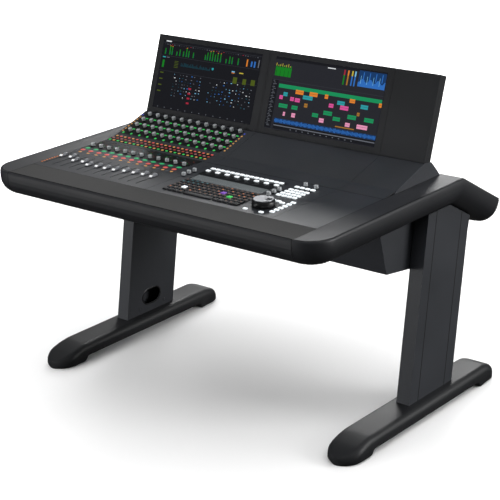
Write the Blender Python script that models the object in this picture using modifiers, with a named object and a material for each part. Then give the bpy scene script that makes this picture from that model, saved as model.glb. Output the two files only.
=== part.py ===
"""Two-bay audio mixing console on T-shaped legs, as separate solids in metres.

+X is the operator's right, -Y the operator's side, +Z up. The origin is on the floor under the
middle of the console. Distances called "from the front" run along +Y from the bolster's front.
"""

import math

import bmesh
import bpy
from mathutils import Matrix, Vector

# Overall sizes
BAY_WIDTH = 0.470
FILLER_WIDTH = BAY_WIDTH / 3
OVERALL_DEPTH = 0.927
DESK_HEIGHT = 0.708
GAP = 0.0004

# Rim: the padded bolster at the front and the arms at the sides share one outer profile
ARM_WIDTH = 0.0852
RIM_THICKNESS = 0.080
RIM_SHOULDER = 0.028
RIM_UNDERCUT = 0.055
RIM_LIP = 0.0045
RIM_GROOVE_WIDTH = 0.004
RIM_GROOVE_DEPTH = 0.0035
CORNER_RADIUS = 0.083
BOLSTER_DEPTH = 0.060
KNEE_FROM_FRONT = 0.7066
KNEE_ANGLE = math.radians(30)
ARM_SLOPE_LENGTH = 0.248
ARM_END_RADIUS = 0.027

# Top panels, each a folded sheet
SHEET = 0.003
PALM_REAR = 0.110
STRIP_START = 0.415
SLOPE_START = 0.479
STRIP_RISE = 0.0072
SLOPE_END = 0.6195
SLOPE_TOP = 0.0510
BRIDGE_START = 0.6225
BRIDGE_END = 0.6495
BRIDGE_FOOT = 0.6975
BRIDGE_CLEARANCE = 0.001
CHEEK_THICKNESS = 0.003
CHEEK_SHOULDER = (0.655, 0.048)
CHEEK_HIP = (0.684, 0.017)

# Fader module
CHANNELS = 12
CHANNEL_BLOCK_MARGIN = 0.045
CHANNEL_PITCH = (BAY_WIDTH - CHANNEL_BLOCK_MARGIN) / CHANNELS
FADER_TRAVEL = 0.100
FADER_SLOT_FRONT = 0.136
FADER_SLOT_WIDTH = 0.0032
FADER_STEM_LENGTH = 0.0148
FADER_STEM_THICKNESS = 0.0016
FADER_STEM_DEPTH = 0.020
FADER_CAP_WIDTH = 0.0115
FADER_CAP_LENGTH = 0.028
FADER_CAP_HEIGHT = 0.0075
FADER_CAP_CLEARANCE = 0.0015
FADER_POSITIONS = (
    0.0757, 0.0809, 0.0581, 0.0640, 0.0482, 0.0531, 0.0526, 0.0553, 0.0642, 0.0676, 0.0703, 0.0683,
)
PAN_ROW = 0.3505
MUTE_ROWS = ((0.3270, 0.0130, 0.0095), (0.3045, 0.0130, 0.0095))
SMALL_ROW = (0.2830, 0.0085, 0.0060)
KEY_HEIGHT = 0.0012

# Knobs
KNOB_RADIUS = 0.0065
KNOB_HEIGHT = 0.0105
KNOB_CLEARANCE = 0.0008
KNOB_SHAFT_RADIUS = 0.003
KNOB_SHAFT_LENGTH = 0.016
SHAFT_HOLE_RADIUS = 0.0042

# Channel control module, measured up from its own fold lines
STRIP_ROWS = (0.0190, 0.0366, 0.0540)
STRIP_KEY = (0.009, 0.0055)
ENCODER_ROWS = (0.0308, 0.0645, 0.0981, 0.1312)
SELECT_ROW = 0.0157
SELECT_OFFSET = -0.0042
SELECT_RADIUS = 0.0042
ENCODER_OFFSET = 0.0156
ENCODER_PITCH_SHARE = 0.994

# Editor module, with its own origin at the left edge of its bay
KEY_PITCH = 0.01905
KEYBOARD_LEFT = 0.0395
KEYBOARD_FRONT = 0.137
KEYBOARD_COLUMNS = 15
KEYBOARD_ROWS = 6
KEYCAP = 0.0155
WHITE_KEY = (0.0135, 0.0095)
SCREEN_FRONT = 0.262
SCREEN_REAR = 0.312
SCREEN_LEFT = 0.034
SCREEN_LENGTH = 0.272
SCREEN_DROP = 0.008
DISPLAY_ROW_LEFT = 0.0368
DISPLAY_ROW_PITCH = 0.01873
DISPLAY_ROWS = (0.3475, 0.3706)
NUMBER_LEFT = 0.3590
NUMBER_ROWS = (0.2822, 0.3010, 0.3200, 0.3390, 0.3675)
DIAL_CENTRE = (0.3858, 0.182)
DIAL_RADIUS = 0.0342
DIAL_HEIGHT = 0.0215
DIAL_SHAFT_RADIUS = 0.006
TRANSPORT_BUTTONS = ((0.3590, 0.1340), (0.4150, 0.1345), (0.3368, 0.2270))
SHUTTLE_COLUMN = 0.4400
SHUTTLE_COLUMN_FRONT = 0.1530
SHUTTLE_KEYS = 6
SHUTTLE_ROW = ((0.3770, 0.2360), (0.3965, 0.2345), (0.4150, 0.2280))
EDITOR_KNOBS = (
    (0.0077, 0.2700), (0.0065, 0.2945), (0.0077, 0.3190),
    (0.3373, 0.2638), (0.3373, 0.2885), (0.3373, 0.3130),
    (0.3745, 0.3880), (0.4145, 0.3855),
)

# Screens
MONITOR_HEIGHT = 0.258
MONITOR_THICKNESS = 0.032
MONITOR_TILT = math.radians(19.3)
MONITOR_FROM_FRONT = 0.621
MONITOR_LIFT = 0.0528
GLASS_THICKNESS = 0.0025
GLASS_MARGIN = 0.004
FRAME_THICKNESS = 0.010
FRAME_INSET = 0.060
FRAME_FOOT = -0.0015
FRAME_TOP = 0.186

# Chassis under the desk
CHASSIS_WALL = 0.002
CHASSIS_STEP = 0.3965
CHASSIS_BOX_FRONT = 0.4323
CHASSIS_BOX_DROP = 0.2327
CHASSIS_REAR = 0.700
CHASSIS_REAR_DROP = 0.272
CHASSIS_RIM_DROP = 0.018
SUPPLY_SIZE = (0.220, 0.110, 0.045)
BOARD_SIZE = (BAY_WIDTH - 0.070, 0.230, 0.0016)
BOARD_DROP = 0.040
BOARD_POST = 0.006
INLET_SIZE = (0.048, 0.018, 0.028)

# Legs
LEG_SPACING = 2 * BAY_WIDTH + FILLER_WIDTH + 0.157 / 3
COLUMN_THICKNESS = 0.0464
COLUMN_DEPTH = 0.228
COLUMN_FROM_FRONT = 0.4736
COLUMN_LEAN = 0.174
COLUMN_WALL = 0.003
COVER_WIDTH = 0.138
COVER_GAP = 0.0014
COVER_LIP = 0.006
FLARE_DROP = 0.115
FLARE_DEPTH = 0.012
CABLE_HOLE = (0.085, 0.050)
CABLE_HOLE_RISE = 0.053
FOOT_WIDTH = 0.111
FOOT_HEIGHT = 0.060
FOOT_FRONT = 0.1395
FOOT_FILLET = 0.020
FOOT_NOSE = 0.024
FOOT_ARCH = 0.0185
FOOT_RAMPS = (0.133, 0.080)
FOOT_PADS = (0.100, 0.106)
FOOT_PAD_BEVEL = 0.0075

INNER_HALF = BAY_WIDTH + FILLER_WIDTH / 2
OUTER_HALF = INNER_HALF + ARM_WIDTH
BAY_ONE = -INNER_HALF
BAY_TWO = BAY_ONE + BAY_WIDTH
BAY_THREE = BAY_TWO + BAY_WIDTH
PANEL_EDGE = GAP / 2 + 0.0002

console = None
cutters = None


def y_at(from_front):
    """World Y of a distance measured from the bolster's front."""
    return from_front - OVERALL_DEPTH / 2


def z_at(rise):
    """World Z of a height measured from the desk's top."""
    return DESK_HEIGHT + rise


def clear_scene():
    for obj in list(bpy.data.objects):
        bpy.data.objects.remove(obj, do_unlink=True)


def new_collection(name):
    collection = bpy.data.collections.new(name)
    bpy.context.scene.collection.children.link(collection)
    return collection


def material(name, colour, roughness, metallic=0.0):
    """A Principled BSDF, made once for each name."""
    found = bpy.data.materials.get(name)
    if found:
        return found
    made = bpy.data.materials.new(name)
    made.use_nodes = True
    shader = made.node_tree.nodes["Principled BSDF"]
    shader.inputs["Base Color"].default_value = (*colour, 1)
    shader.inputs["Roughness"].default_value = roughness
    shader.inputs["Metallic"].default_value = metallic
    return made


def powder_coat():
    return material("powder coated steel", (0.045, 0.047, 0.050), 0.45)


def deck_paint():
    return material("satin deck paint", (0.060, 0.063, 0.070), 0.38)


def soft_trim():
    return material("padded trim", (0.030, 0.031, 0.033), 0.60)


def foot_paint():
    return material("cast foot paint", (0.030, 0.031, 0.033), 0.40)


def black_plastic():
    return material("black plastic", (0.015, 0.015, 0.017), 0.40)


def screen_glass():
    return material("screen glass", (0.010, 0.010, 0.014), 0.08)


def knob_metal():
    return material("knob metal", (0.55, 0.56, 0.58), 0.30, 1.0)


def key_rubber():
    return material("key rubber", (0.80, 0.82, 0.84), 0.50)


def board_green():
    return material("circuit board", (0.02, 0.12, 0.05), 0.50)


def add_object(name, mesh, finish, collection=None):
    obj = bpy.data.objects.new(name, mesh)
    (collection or console).objects.link(obj)
    if finish:
        mesh.materials.clear()
        mesh.materials.append(finish)
    return obj


def as_cutter(obj):
    """Moves an object among the helpers, so that it is no part of the console."""
    for collection in list(obj.users_collection):
        collection.objects.unlink(obj)
    cutters.objects.link(obj)
    obj.hide_render = True
    obj.display_type = "WIRE"
    return obj


def mesh_from(bm, name):
    """A mesh with its faces pointing out."""
    bmesh.ops.recalc_face_normals(bm, faces=bm.faces)
    if bm.calc_volume(signed=True) < 0:
        bmesh.ops.reverse_faces(bm, faces=bm.faces)
    mesh = bpy.data.meshes.new(name)
    bm.to_mesh(mesh)
    bm.free()
    return mesh


def box(name, low, high, finish=None):
    """A box from its lowest to its highest corner."""
    low, high = Vector(low), Vector(high)
    bm = bmesh.new()
    bmesh.ops.create_cube(bm, size=1)
    size = Matrix.Diagonal((*(high - low), 1))
    bm.transform(Matrix.Translation((low + high) / 2) @ size)
    return add_object(name, mesh_from(bm, name), finish)


def boxes(name, corners, sides=None):
    """Several boxes, and upright prisms for the round ones, in one helper mesh.

    Each entry is (low, high), or with sides (x, y, radius, bottom, top).
    """
    bm = bmesh.new()
    for entry in corners:
        if len(entry) == 2:
            low, high = Vector(entry[0]), Vector(entry[1])
            size = Matrix.Diagonal((*(high - low), 1))
            bmesh.ops.create_cube(bm, size=1, matrix=Matrix.Translation((low + high) / 2) @ size)
            continue
        x, y, radius, bottom, top = entry
        bmesh.ops.create_cone(
            bm, cap_ends=True, segments=sides, radius1=radius, radius2=radius, depth=top - bottom,
            matrix=Matrix.Translation((x, y, (bottom + top) / 2)),
        )
    return add_object(name, mesh_from(bm, name), None)


PLANES = {
    "XY": Matrix.Identity(3),
    "YZ": Matrix(((0, 0, 1), (1, 0, 0), (0, 1, 0))),
    "XZ": Matrix(((1, 0, 0), (0, 0, -1), (0, 1, 0))),
}


def outline_solid(name, plane, loops, low, high, finish=None):
    """An outline with its holes, extruded across its plane from low to high."""
    curve = bpy.data.curves.new(name, "CURVE")
    curve.dimensions = "2D"
    curve.fill_mode = "BOTH"
    curve.extrude = (high - low) / 2
    for loop in loops:
        spline = curve.splines.new("POLY")
        spline.points.add(len(loop) - 1)
        for point, (a, b) in zip(spline.points, loop):
            point.co = (a, b, 0, 1)
        spline.use_cyclic_u = True
    guide = add_object(name + "_outline", curve, None)
    turn = PLANES[plane].to_4x4()
    guide.matrix_world = turn @ Matrix.Translation((0, 0, (low + high) / 2 * (-1 if plane == "XZ" else 1)))
    bpy.context.view_layer.update()
    graph = bpy.context.evaluated_depsgraph_get()
    mesh = bpy.data.meshes.new_from_object(guide.evaluated_get(graph))
    bm = bmesh.new()
    bm.from_mesh(mesh)
    bmesh.ops.remove_doubles(bm, verts=bm.verts, dist=1e-6)
    bmesh.ops.recalc_face_normals(bm, faces=bm.faces)
    bm.to_mesh(mesh)
    bm.free()
    mesh.name = name
    obj = add_object(name, mesh, finish)
    obj.matrix_world = guide.matrix_world
    bpy.data.objects.remove(guide, do_unlink=True)
    return obj


def boolean(obj, other, operation):
    modifier = obj.modifiers.new(operation.lower(), "BOOLEAN")
    modifier.operation = operation
    modifier.object = as_cutter(other)
    return obj


def bevel(obj, width, segments=2, angle=50):
    modifier = obj.modifiers.new("bevel", "BEVEL")
    modifier.width = width
    modifier.segments = segments
    modifier.limit_method = "ANGLE"
    modifier.angle_limit = math.radians(angle)
    return obj


def baked(obj):
    """The object's mesh with its modifiers applied, so that copies can share it."""
    bpy.context.view_layer.update()
    graph = bpy.context.evaluated_depsgraph_get()
    mesh = bpy.data.meshes.new_from_object(obj.evaluated_get(graph))
    obj.modifiers.clear()
    obj.data = mesh
    return mesh


def rectangle(left, front, right, rear):
    return [(left, front), (right, front), (right, rear), (left, rear)]


def stadium(x, y, length, width, segments=6):
    """An outline with round ends, its length along the second axis."""
    radius = width / 2
    reach = length / 2 - radius
    result = []
    for centre, start in ((y + reach, 0), (y - reach, math.pi)):
        for step in range(segments + 1):
            angle = start + math.pi * step / segments
            result.append((x + radius * math.cos(angle), centre + radius * math.sin(angle)))
    return result


def circle(x, y, radius, segments=16):
    turn = 2 * math.pi / segments
    return [(x + radius * math.cos(turn * i), y + radius * math.sin(turn * i)) for i in range(segments)]


def loft(name, rings, finish):
    """A closed skin through rings of equal length, its ends capped."""
    bm = bmesh.new()
    made = [[bm.verts.new(point) for point in ring] for ring in rings]
    for low, high in zip(made, made[1:]):
        for i in range(len(low)):
            j = (i + 1) % len(low)
            bm.faces.new((low[i], low[j], high[j], high[i]))
    bm.faces.new(made[0])
    bm.faces.new(made[-1])
    return add_object(name, mesh_from(bm, name), finish)


def folded_sheet(points, thickness):
    """The closed outline of a sheet whose top follows the points, bent at sharp folds."""
    lower = []
    for index, point in enumerate(points):
        here = Vector(point)
        ways = []
        if index:
            ways.append((here - Vector(points[index - 1])).normalized())
        if index < len(points) - 1:
            ways.append((Vector(points[index + 1]) - here).normalized())
        along = sum(ways, Vector((0, 0))).normalized()
        down = Vector((along.y, -along.x))
        lower.append(tuple(here + down * (thickness / max(0.3, along.dot(ways[0])))))
    return list(points) + lower[::-1]


def section(points):
    """World (y, z) of points given from the front and from the desk's top."""
    return [(y_at(a), z_at(b)) for a, b in points]


def mirrored(name, source, finish):
    """A left-hand copy of a right-hand piece."""
    bm = bmesh.new()
    bm.from_mesh(source.data)
    bm.transform(Matrix.Scale(-1, 4, (1, 0, 0)) @ source.matrix_world)
    return add_object(name, mesh_from(bm, name), finish)


# ---- Rim ---------------------------------------------------------------------------------------


def rim_profile(steps=6):
    """(inset, drop) pairs of the rim's outer side, from its top edge down to the underside."""
    shoulder = [(RIM_LIP, 0.0), (0.0022, 0.0026), (0.0006, 0.0065), (0.0, RIM_SHOULDER * 0.6)]
    under = RIM_THICKNESS - RIM_SHOULDER
    for step in range(steps + 1):
        angle = math.pi / 2 * step / steps
        inset = RIM_UNDERCUT * (1 - math.cos(angle))
        shoulder.append((inset, RIM_SHOULDER + under * math.sin(angle)))
    return shoulder


def arm_ring(inset, drop, corner_steps=7, end_steps=4):
    """One level contour of the right arm. The part behind the knee is turned down about the knee."""
    inner = INNER_HALF + GAP
    outer = OUTER_HALF - inset
    knee = KNEE_FROM_FRONT - drop * math.tan(KNEE_ANGLE / 2)
    end = KNEE_FROM_FRONT + ARM_SLOPE_LENGTH
    flat = [(inner, inset)]
    centre = (OUTER_HALF - CORNER_RADIUS, CORNER_RADIUS)
    for step in range(corner_steps + 1):
        angle = math.pi / 2 * step / corner_steps
        reach = CORNER_RADIUS - inset
        flat.append((centre[0] + reach * math.sin(angle), centre[1] - reach * math.cos(angle)))
    flat.append((outer, knee))
    sloped = []
    radius = ARM_END_RADIUS
    for step in range(end_steps + 1):
        angle = math.pi / 2 * step / end_steps
        across = radius * math.cos(angle)
        sloped.append((outer - radius + across, end - radius + radius * math.sin(angle)))
    sloped.append((inner, end))
    turned = []
    for x, along in sloped:
        run, fall = along - KNEE_FROM_FRONT, -drop
        y = KNEE_FROM_FRONT + run * math.cos(KNEE_ANGLE) + fall * math.sin(KNEE_ANGLE)
        z = -run * math.sin(KNEE_ANGLE) + fall * math.cos(KNEE_ANGLE)
        turned.append(Vector((x, y_at(y), z_at(z))))
    ring = [Vector((x, y_at(y), z_at(-drop))) for x, y in flat]
    return ring, turned, Vector((inner, y_at(knee), z_at(-drop)))


def build_arm(name, finish):
    """The right arm, as contours stacked from its top to its underside."""
    bm = bmesh.new()
    rings = []
    for inset, drop in rim_profile():
        flat, sloped, knee = arm_ring(inset, drop)
        rings.append([bm.verts.new(p) for p in flat + sloped + [knee]])
        fold = len(flat) - 1
    for upper, lower in zip(rings, rings[1:]):
        for i in range(len(upper)):
            j = (i + 1) % len(upper)
            bm.faces.new((upper[i], upper[j], lower[j], lower[i]))
    for ring in (rings[0], rings[-1]):
        bm.faces.new(ring[: fold + 1] + [ring[-1]])
        bm.faces.new(ring[fold:])
    return add_object(name, mesh_from(bm, name), finish)


def build_rim():
    finish = soft_trim()
    right = build_arm("right_arm", finish)
    mirrored("left_arm", right, finish)
    half = INNER_HALF - PANEL_EDGE
    profile = [(inset, -drop) for inset, drop in rim_profile()]
    ledge = -(SHEET + 2 * GAP)
    profile += [(BOLSTER_DEPTH, -RIM_THICKNESS), (BOLSTER_DEPTH, ledge), (0.0155, ledge)]
    groove = -(RIM_GROOVE_DEPTH + SHEET + 0.004)
    profile += [(0.0155, groove), (RIM_LIP, groove)]
    outline_solid("front_bolster", "YZ", [section(profile)], -half, half, finish)


# ---- Top panels --------------------------------------------------------------------------------


def channel_x(index):
    """Middle of a channel, counted from the left."""
    return BAY_ONE + CHANNEL_PITCH * (index + 0.5)


def encoder_x(index):
    pitch = CHANNEL_PITCH * ENCODER_PITCH_SHARE
    return channel_x(0) + ENCODER_OFFSET + pitch * index


def slot_length():
    return FADER_TRAVEL + FADER_STEM_LENGTH + 2 * KNOB_CLEARANCE


def fader_slot(index):
    middle = FADER_SLOT_FRONT + slot_length() / 2
    return stadium(channel_x(index), y_at(middle), slot_length(), FADER_SLOT_WIDTH, 3)


def mat_window():
    """Plan of the opening for the fader module's keys: left, front, right, rear."""
    front = SMALL_ROW[0] - SMALL_ROW[2]
    rear = MUTE_ROWS[0][0] + MUTE_ROWS[0][2] - 0.001
    left = BAY_ONE + 0.003
    return left, front, left + CHANNEL_PITCH * CHANNELS - 0.004, rear


def pan_window():
    left, _, right, rear = mat_window()
    return left, rear + 0.0012, right, PAN_ROW + KNOB_RADIUS + 0.003


def keyboard_window():
    left = BAY_TWO + KEYBOARD_LEFT
    rear = KEYBOARD_FRONT + KEY_PITCH * KEYBOARD_ROWS
    return left, KEYBOARD_FRONT, left + KEY_PITCH * KEYBOARD_COLUMNS, rear


def editor_key_plan():
    """Middles of the fixed white keys, from the bay's left edge and from the front."""
    back = [(DISPLAY_ROW_LEFT + DISPLAY_ROW_PITCH * i, DISPLAY_ROWS[1]) for i in range(15)]
    front = [(DISPLAY_ROW_LEFT + DISPLAY_ROW_PITCH * 2 * i, DISPLAY_ROWS[0]) for i in range(8)]
    numbers = [(NUMBER_LEFT + KEY_PITCH * i, row) for row in NUMBER_ROWS for i in range(4)]
    shuttle = [(SHUTTLE_COLUMN, SHUTTLE_COLUMN_FRONT + KEY_PITCH * 0.975 * i) for i in range(SHUTTLE_KEYS)]
    return back + front + numbers + shuttle + list(SHUTTLE_ROW)


def key_windows():
    """Openings that the white keys stand in: one for each block of keys and each single key."""
    width, depth = (WHITE_KEY[0] + 0.002, WHITE_KEY[1] + 0.002)
    last = DISPLAY_ROW_LEFT + DISPLAY_ROW_PITCH * 14
    blocks = [
        (DISPLAY_ROW_LEFT - width / 2, DISPLAY_ROWS[0] - depth / 2, last + width / 2, DISPLAY_ROWS[1] + depth / 2),
        (NUMBER_LEFT - width / 2, NUMBER_ROWS[0] - depth / 2,
         NUMBER_LEFT + 3 * KEY_PITCH + width / 2, NUMBER_ROWS[4] + depth / 2),
        (SHUTTLE_COLUMN - width / 2, SHUTTLE_COLUMN_FRONT - depth / 2,
         SHUTTLE_COLUMN + width / 2, SHUTTLE_COLUMN_FRONT + KEY_PITCH * 0.975 * (SHUTTLE_KEYS - 1) + depth / 2),
    ]
    blocks += [(x - width / 2, y - depth / 2, x + width / 2, y + depth / 2) for x, y in SHUTTLE_ROW]
    blocks += [(x - width / 2, y - depth / 2, x + width / 2, y + depth / 2) for x, y in TRANSPORT_BUTTONS]
    return blocks


def build_flat_decks():
    finish = deck_paint()
    top, bottom = z_at(0), z_at(-SHEET)
    half = INNER_HALF - PANEL_EDGE
    palm = rectangle(-half, y_at(RIM_LIP + RIM_GROOVE_WIDTH), half, y_at(PALM_REAR - GAP))
    outline_solid("palm_strip", "XY", [palm], bottom, top, finish)

    front, rear = y_at(PALM_REAR + GAP), y_at(STRIP_START - GAP)
    outline = rectangle(-half, front, BAY_TWO - PANEL_EDGE, rear)
    loops = [outline] + [fader_slot(i) for i in range(CHANNELS)]
    for left, near, right, far in (mat_window(), pan_window()):
        loops.append(rectangle(left, y_at(near), right, y_at(far)))
    outline_solid("fader_deck", "XY", loops, bottom, top, finish)

    outline = rectangle(BAY_TWO + PANEL_EDGE, front, BAY_THREE - PANEL_EDGE, rear)
    loops = [outline]
    left, near, right, far = keyboard_window()
    loops.append(rectangle(left, y_at(near), right, y_at(far)))
    screen_right = BAY_TWO + SCREEN_LEFT + SCREEN_LENGTH
    loops.append(rectangle(BAY_TWO + SCREEN_LEFT, y_at(SCREEN_FRONT), screen_right, y_at(SCREEN_REAR)))
    for left, near, right, far in key_windows():
        loops.append(rectangle(BAY_TWO + left, y_at(near), BAY_TWO + right, y_at(far)))
    for x, y in EDITOR_KNOBS:
        loops.append(circle(BAY_TWO + x, y_at(y), SHAFT_HOLE_RADIUS, 10))
    loops.append(circle(BAY_TWO + DIAL_CENTRE[0], y_at(DIAL_CENTRE[1]), DIAL_SHAFT_RADIUS + 0.001, 16))
    outline_solid("editor_deck", "XY", loops, bottom, top, finish)


def strip_angle():
    return math.atan2(STRIP_RISE, SLOPE_START - STRIP_START)


def slope_angle():
    return math.atan2(SLOPE_TOP - STRIP_RISE, SLOPE_END - SLOPE_START)


def on_deck():
    """The placement of a piece modelled with the desk's top at height 0."""
    return Matrix.Translation((0, 0, DESK_HEIGHT))


def on_strip():
    """The placement of a piece modelled flat, from the intermediate strip's lower fold up."""
    return Matrix.Translation((0, y_at(STRIP_START), DESK_HEIGHT)) @ Matrix.Rotation(strip_angle(), 4, "X")


def on_slope():
    """The placement of a piece modelled flat, from the slope's lower fold up."""
    base = Matrix.Translation((0, y_at(SLOPE_START), z_at(STRIP_RISE)))
    return base @ Matrix.Rotation(slope_angle(), 4, "X")


def strip_mat_window():
    left = BAY_ONE + 0.003
    right = left + CHANNEL_PITCH * CHANNELS - 0.004
    return left, STRIP_ROWS[0] - 0.006, right, STRIP_ROWS[2] + 0.0045


def encoder_window():
    left = BAY_ONE + 0.0072
    right = encoder_x(CHANNELS - 1) + KNOB_RADIUS + 0.003
    return left, SELECT_ROW - SELECT_RADIUS - 0.002, right, ENCODER_ROWS[3] + KNOB_RADIUS + 0.003


def window_cutter(name, window, place):
    left, front, right, rear = window
    cutter = box(name, (left, front, -0.012), (right, rear, 0.012))
    cutter.matrix_world = place
    return cutter


def build_raised_panels():
    finish = deck_paint()
    folds = [(STRIP_START + GAP, 0), (SLOPE_START, STRIP_RISE), (SLOPE_END, SLOPE_TOP)]
    outline = section(folded_sheet(folds, SHEET))
    left, right = BAY_ONE + PANEL_EDGE, BAY_TWO - PANEL_EDGE
    panel = outline_solid("channel_panel", "YZ", [outline], left, right, finish)
    boolean(panel, window_cutter("strip_window", strip_mat_window(), on_strip()), "DIFFERENCE")
    boolean(panel, window_cutter("encoder_window", encoder_window(), on_slope()), "DIFFERENCE")
    left, right = BAY_TWO + PANEL_EDGE, BAY_THREE - PANEL_EDGE
    outline_solid("middle_slope_panel", "YZ", [outline], left, right, finish)
    whole = [(PALM_REAR + GAP, 0), (STRIP_START, 0)] + folds[1:]
    outline = section(folded_sheet(whole, SHEET))
    left, right = BAY_THREE + PANEL_EDGE, INNER_HALF - PANEL_EDGE
    outline_solid("end_panel", "YZ", [outline], left, right, finish)


def build_bridge_and_cheeks():
    finish = powder_coat()
    half = INNER_HALF - PANEL_EDGE
    fall = math.tan(MONITOR_TILT)
    rises = [MONITOR_LIFT - BRIDGE_CLEARANCE - fall * (y - MONITOR_FROM_FRONT) for y in (BRIDGE_START, BRIDGE_END)]
    folds = [(BRIDGE_START, rises[0]), (BRIDGE_END, rises[1]), (BRIDGE_FOOT, GAP)]
    bridge = section(folded_sheet(folds, SHEET))
    outline_solid("monitor_bridge", "YZ", [bridge], -half, half, finish)
    start = STRIP_START + (SLOPE_START - STRIP_START) * 0.85
    side = [(start, GAP), (SLOPE_START, STRIP_RISE), (MONITOR_FROM_FRONT, MONITOR_LIFT)]
    side += [CHEEK_SHOULDER, CHEEK_HIP, (BRIDGE_FOOT, GAP)]
    inner = INNER_HALF + GAP
    right = outline_solid("right_cheek", "YZ", [section(side)], inner, inner + CHEEK_THICKNESS, finish)
    mirrored("left_cheek", right, finish)


def build_rear_hood():
    """The sheet behind the screens: level to the knee, then down with the arms, with a lip."""
    half = INNER_HALF - PANEL_EDGE
    reach = ARM_SLOPE_LENGTH
    drop = RIM_THICKNESS
    along = (math.cos(KNEE_ANGLE), -math.sin(KNEE_ANGLE))
    down = (-math.sin(KNEE_ANGLE), -math.cos(KNEE_ANGLE))
    end = (KNEE_FROM_FRONT + reach * along[0], -GAP + reach * along[1])
    lip = (end[0] + down[0] * drop, end[1] + down[1] * drop)
    folds = [(BRIDGE_FOOT + SHEET + GAP, -GAP), (KNEE_FROM_FRONT, -GAP), end, lip]
    outline = section(folded_sheet(folds, SHEET))
    outline_solid("rear_hood", "YZ", [outline], -half, half, powder_coat())


# ---- Key mats and knobs ------------------------------------------------------------------------


def key_block(x, y, size, height=KEY_HEIGHT):
    """Lowest and highest corner of a key that stands on a mat."""
    width, depth = size
    return (x - width / 2, y - depth / 2, -0.001), (x + width / 2, y + depth / 2, height)


def key_mat(name, window, keys, finish, place, sides=None):
    """A sheet that fills a window of its panel, with keys or knobs moulded on, placed as one."""
    left, front, right, rear = window
    low = (left + GAP, front + GAP, -SHEET)
    high = (right - GAP, rear - GAP, -0.0005)
    mat = box(name, low, high, finish)
    raised = boxes(name + "_keys", keys, sides)
    mat.matrix_world = place
    raised.matrix_world = place
    return boolean(mat, raised, "UNION")


def world_window(window):
    left, front, right, rear = window
    return left, y_at(front), right, y_at(rear)


def build_fader_mat():
    keys = []
    for index in range(CHANNELS):
        x = channel_x(index)
        for row, width, depth in MUTE_ROWS:
            keys.append(key_block(x, y_at(row), (width, depth)))
        row, width, depth = SMALL_ROW
        for side in (-1, 1):
            keys.append(key_block(x + side * CHANNEL_PITCH * 0.25, y_at(row), (width, depth)))
    key_mat("fader_keypad", world_window(mat_window()), keys, key_rubber(), on_deck())
    keys = [(channel_x(i), y_at(PAN_ROW), KNOB_RADIUS, -0.001, KNOB_HEIGHT) for i in range(CHANNELS)]
    key_mat("pan_encoders", world_window(pan_window()), keys, knob_metal(), on_deck(), 10)


def build_channel_mats():
    keys = []
    for index in range(CHANNELS):
        for row in STRIP_ROWS:
            for side in (-1, 1):
                x = channel_x(index) + side * CHANNEL_PITCH / 4
                keys.append(key_block(x, row, STRIP_KEY))
    key_mat("channel_keypad", strip_mat_window(), keys, key_rubber(), on_strip())
    keys = []
    for index in range(CHANNELS):
        keys.append((channel_x(index) + SELECT_OFFSET, SELECT_ROW, SELECT_RADIUS, -0.001, KEY_HEIGHT))
        for row in ENCODER_ROWS:
            keys.append((encoder_x(index), row, KNOB_RADIUS, -0.001, KNOB_HEIGHT))
    key_mat("channel_encoders", encoder_window(), keys, knob_metal(), on_slope(), 8)


def build_keyboard():
    left, front, _, _ = keyboard_window()
    keys = []
    for row in range(KEYBOARD_ROWS):
        for column in range(KEYBOARD_COLUMNS):
            x = left + KEY_PITCH * (column + 0.5)
            y = y_at(front) + KEY_PITCH * (row + 0.5)
            keys.append(key_block(x, y, (KEYCAP, KEYCAP), 0.004))
    key_mat("typing_keyboard", world_window(keyboard_window()), keys, black_plastic(), on_deck())


def editor_keypad_plan():
    """Outline of the rubber sheet: under every fixed white key, and clear of knobs and buttons."""
    width, depth = WHITE_KEY
    left, web = DISPLAY_ROW_LEFT - width, NUMBER_LEFT - width
    link, step = SHUTTLE_ROW[0][0] - width * 0.8, SHUTTLE_COLUMN - width
    right = SHUTTLE_COLUMN + width
    split, web_front = SCREEN_REAR + 0.016, NUMBER_ROWS[0] - depth * 2
    link_front, front = SHUTTLE_ROW[2][1] - depth * 0.7, SHUTTLE_COLUMN_FRONT - depth
    rear = DISPLAY_ROWS[1] + depth
    plan = [
        (left, split), (web, split), (web, web_front), (link, web_front), (link, link_front),
        (step, link_front), (step, front), (right, front), (right, rear), (left, rear),
    ]
    return [(BAY_TWO + x, y_at(y)) for x, y in plan]


def build_editor_keypad():
    """One rubber sheet under the deck, whose keys come up through the deck's windows."""
    low = -(SHEET + 0.004)
    high = -(SHEET + GAP)
    mat = outline_solid("editor_keypad", "XY", [editor_keypad_plan()], z_at(low), z_at(high), key_rubber())
    stems = []
    width, depth = WHITE_KEY
    for x, y in editor_key_plan():
        middle_x, middle_y = BAY_TWO + x, y_at(y)
        stems.append((
            (middle_x - width / 2, middle_y - depth / 2, z_at(low + 0.001)),
            (middle_x + width / 2, middle_y + depth / 2, z_at(KEY_HEIGHT)),
        ))
    boolean(mat, boxes("editor_keypad_keys", stems), "UNION")


def build_display():
    low, high = z_at(-SHEET - SCREEN_DROP - 0.002), z_at(-SHEET - GAP)
    left = BAY_TWO + SCREEN_LEFT - 0.004
    right = BAY_TWO + SCREEN_LEFT + SCREEN_LENGTH + 0.004
    wedge = [
        (y_at(SCREEN_FRONT - 0.003), low), (y_at(SCREEN_REAR + 0.003), low),
        (y_at(SCREEN_REAR + 0.003), high), (y_at(SCREEN_FRONT - 0.003), low + 0.003),
    ]
    outline_solid("display_strip", "YZ", [wedge], left, right, screen_glass())


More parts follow.
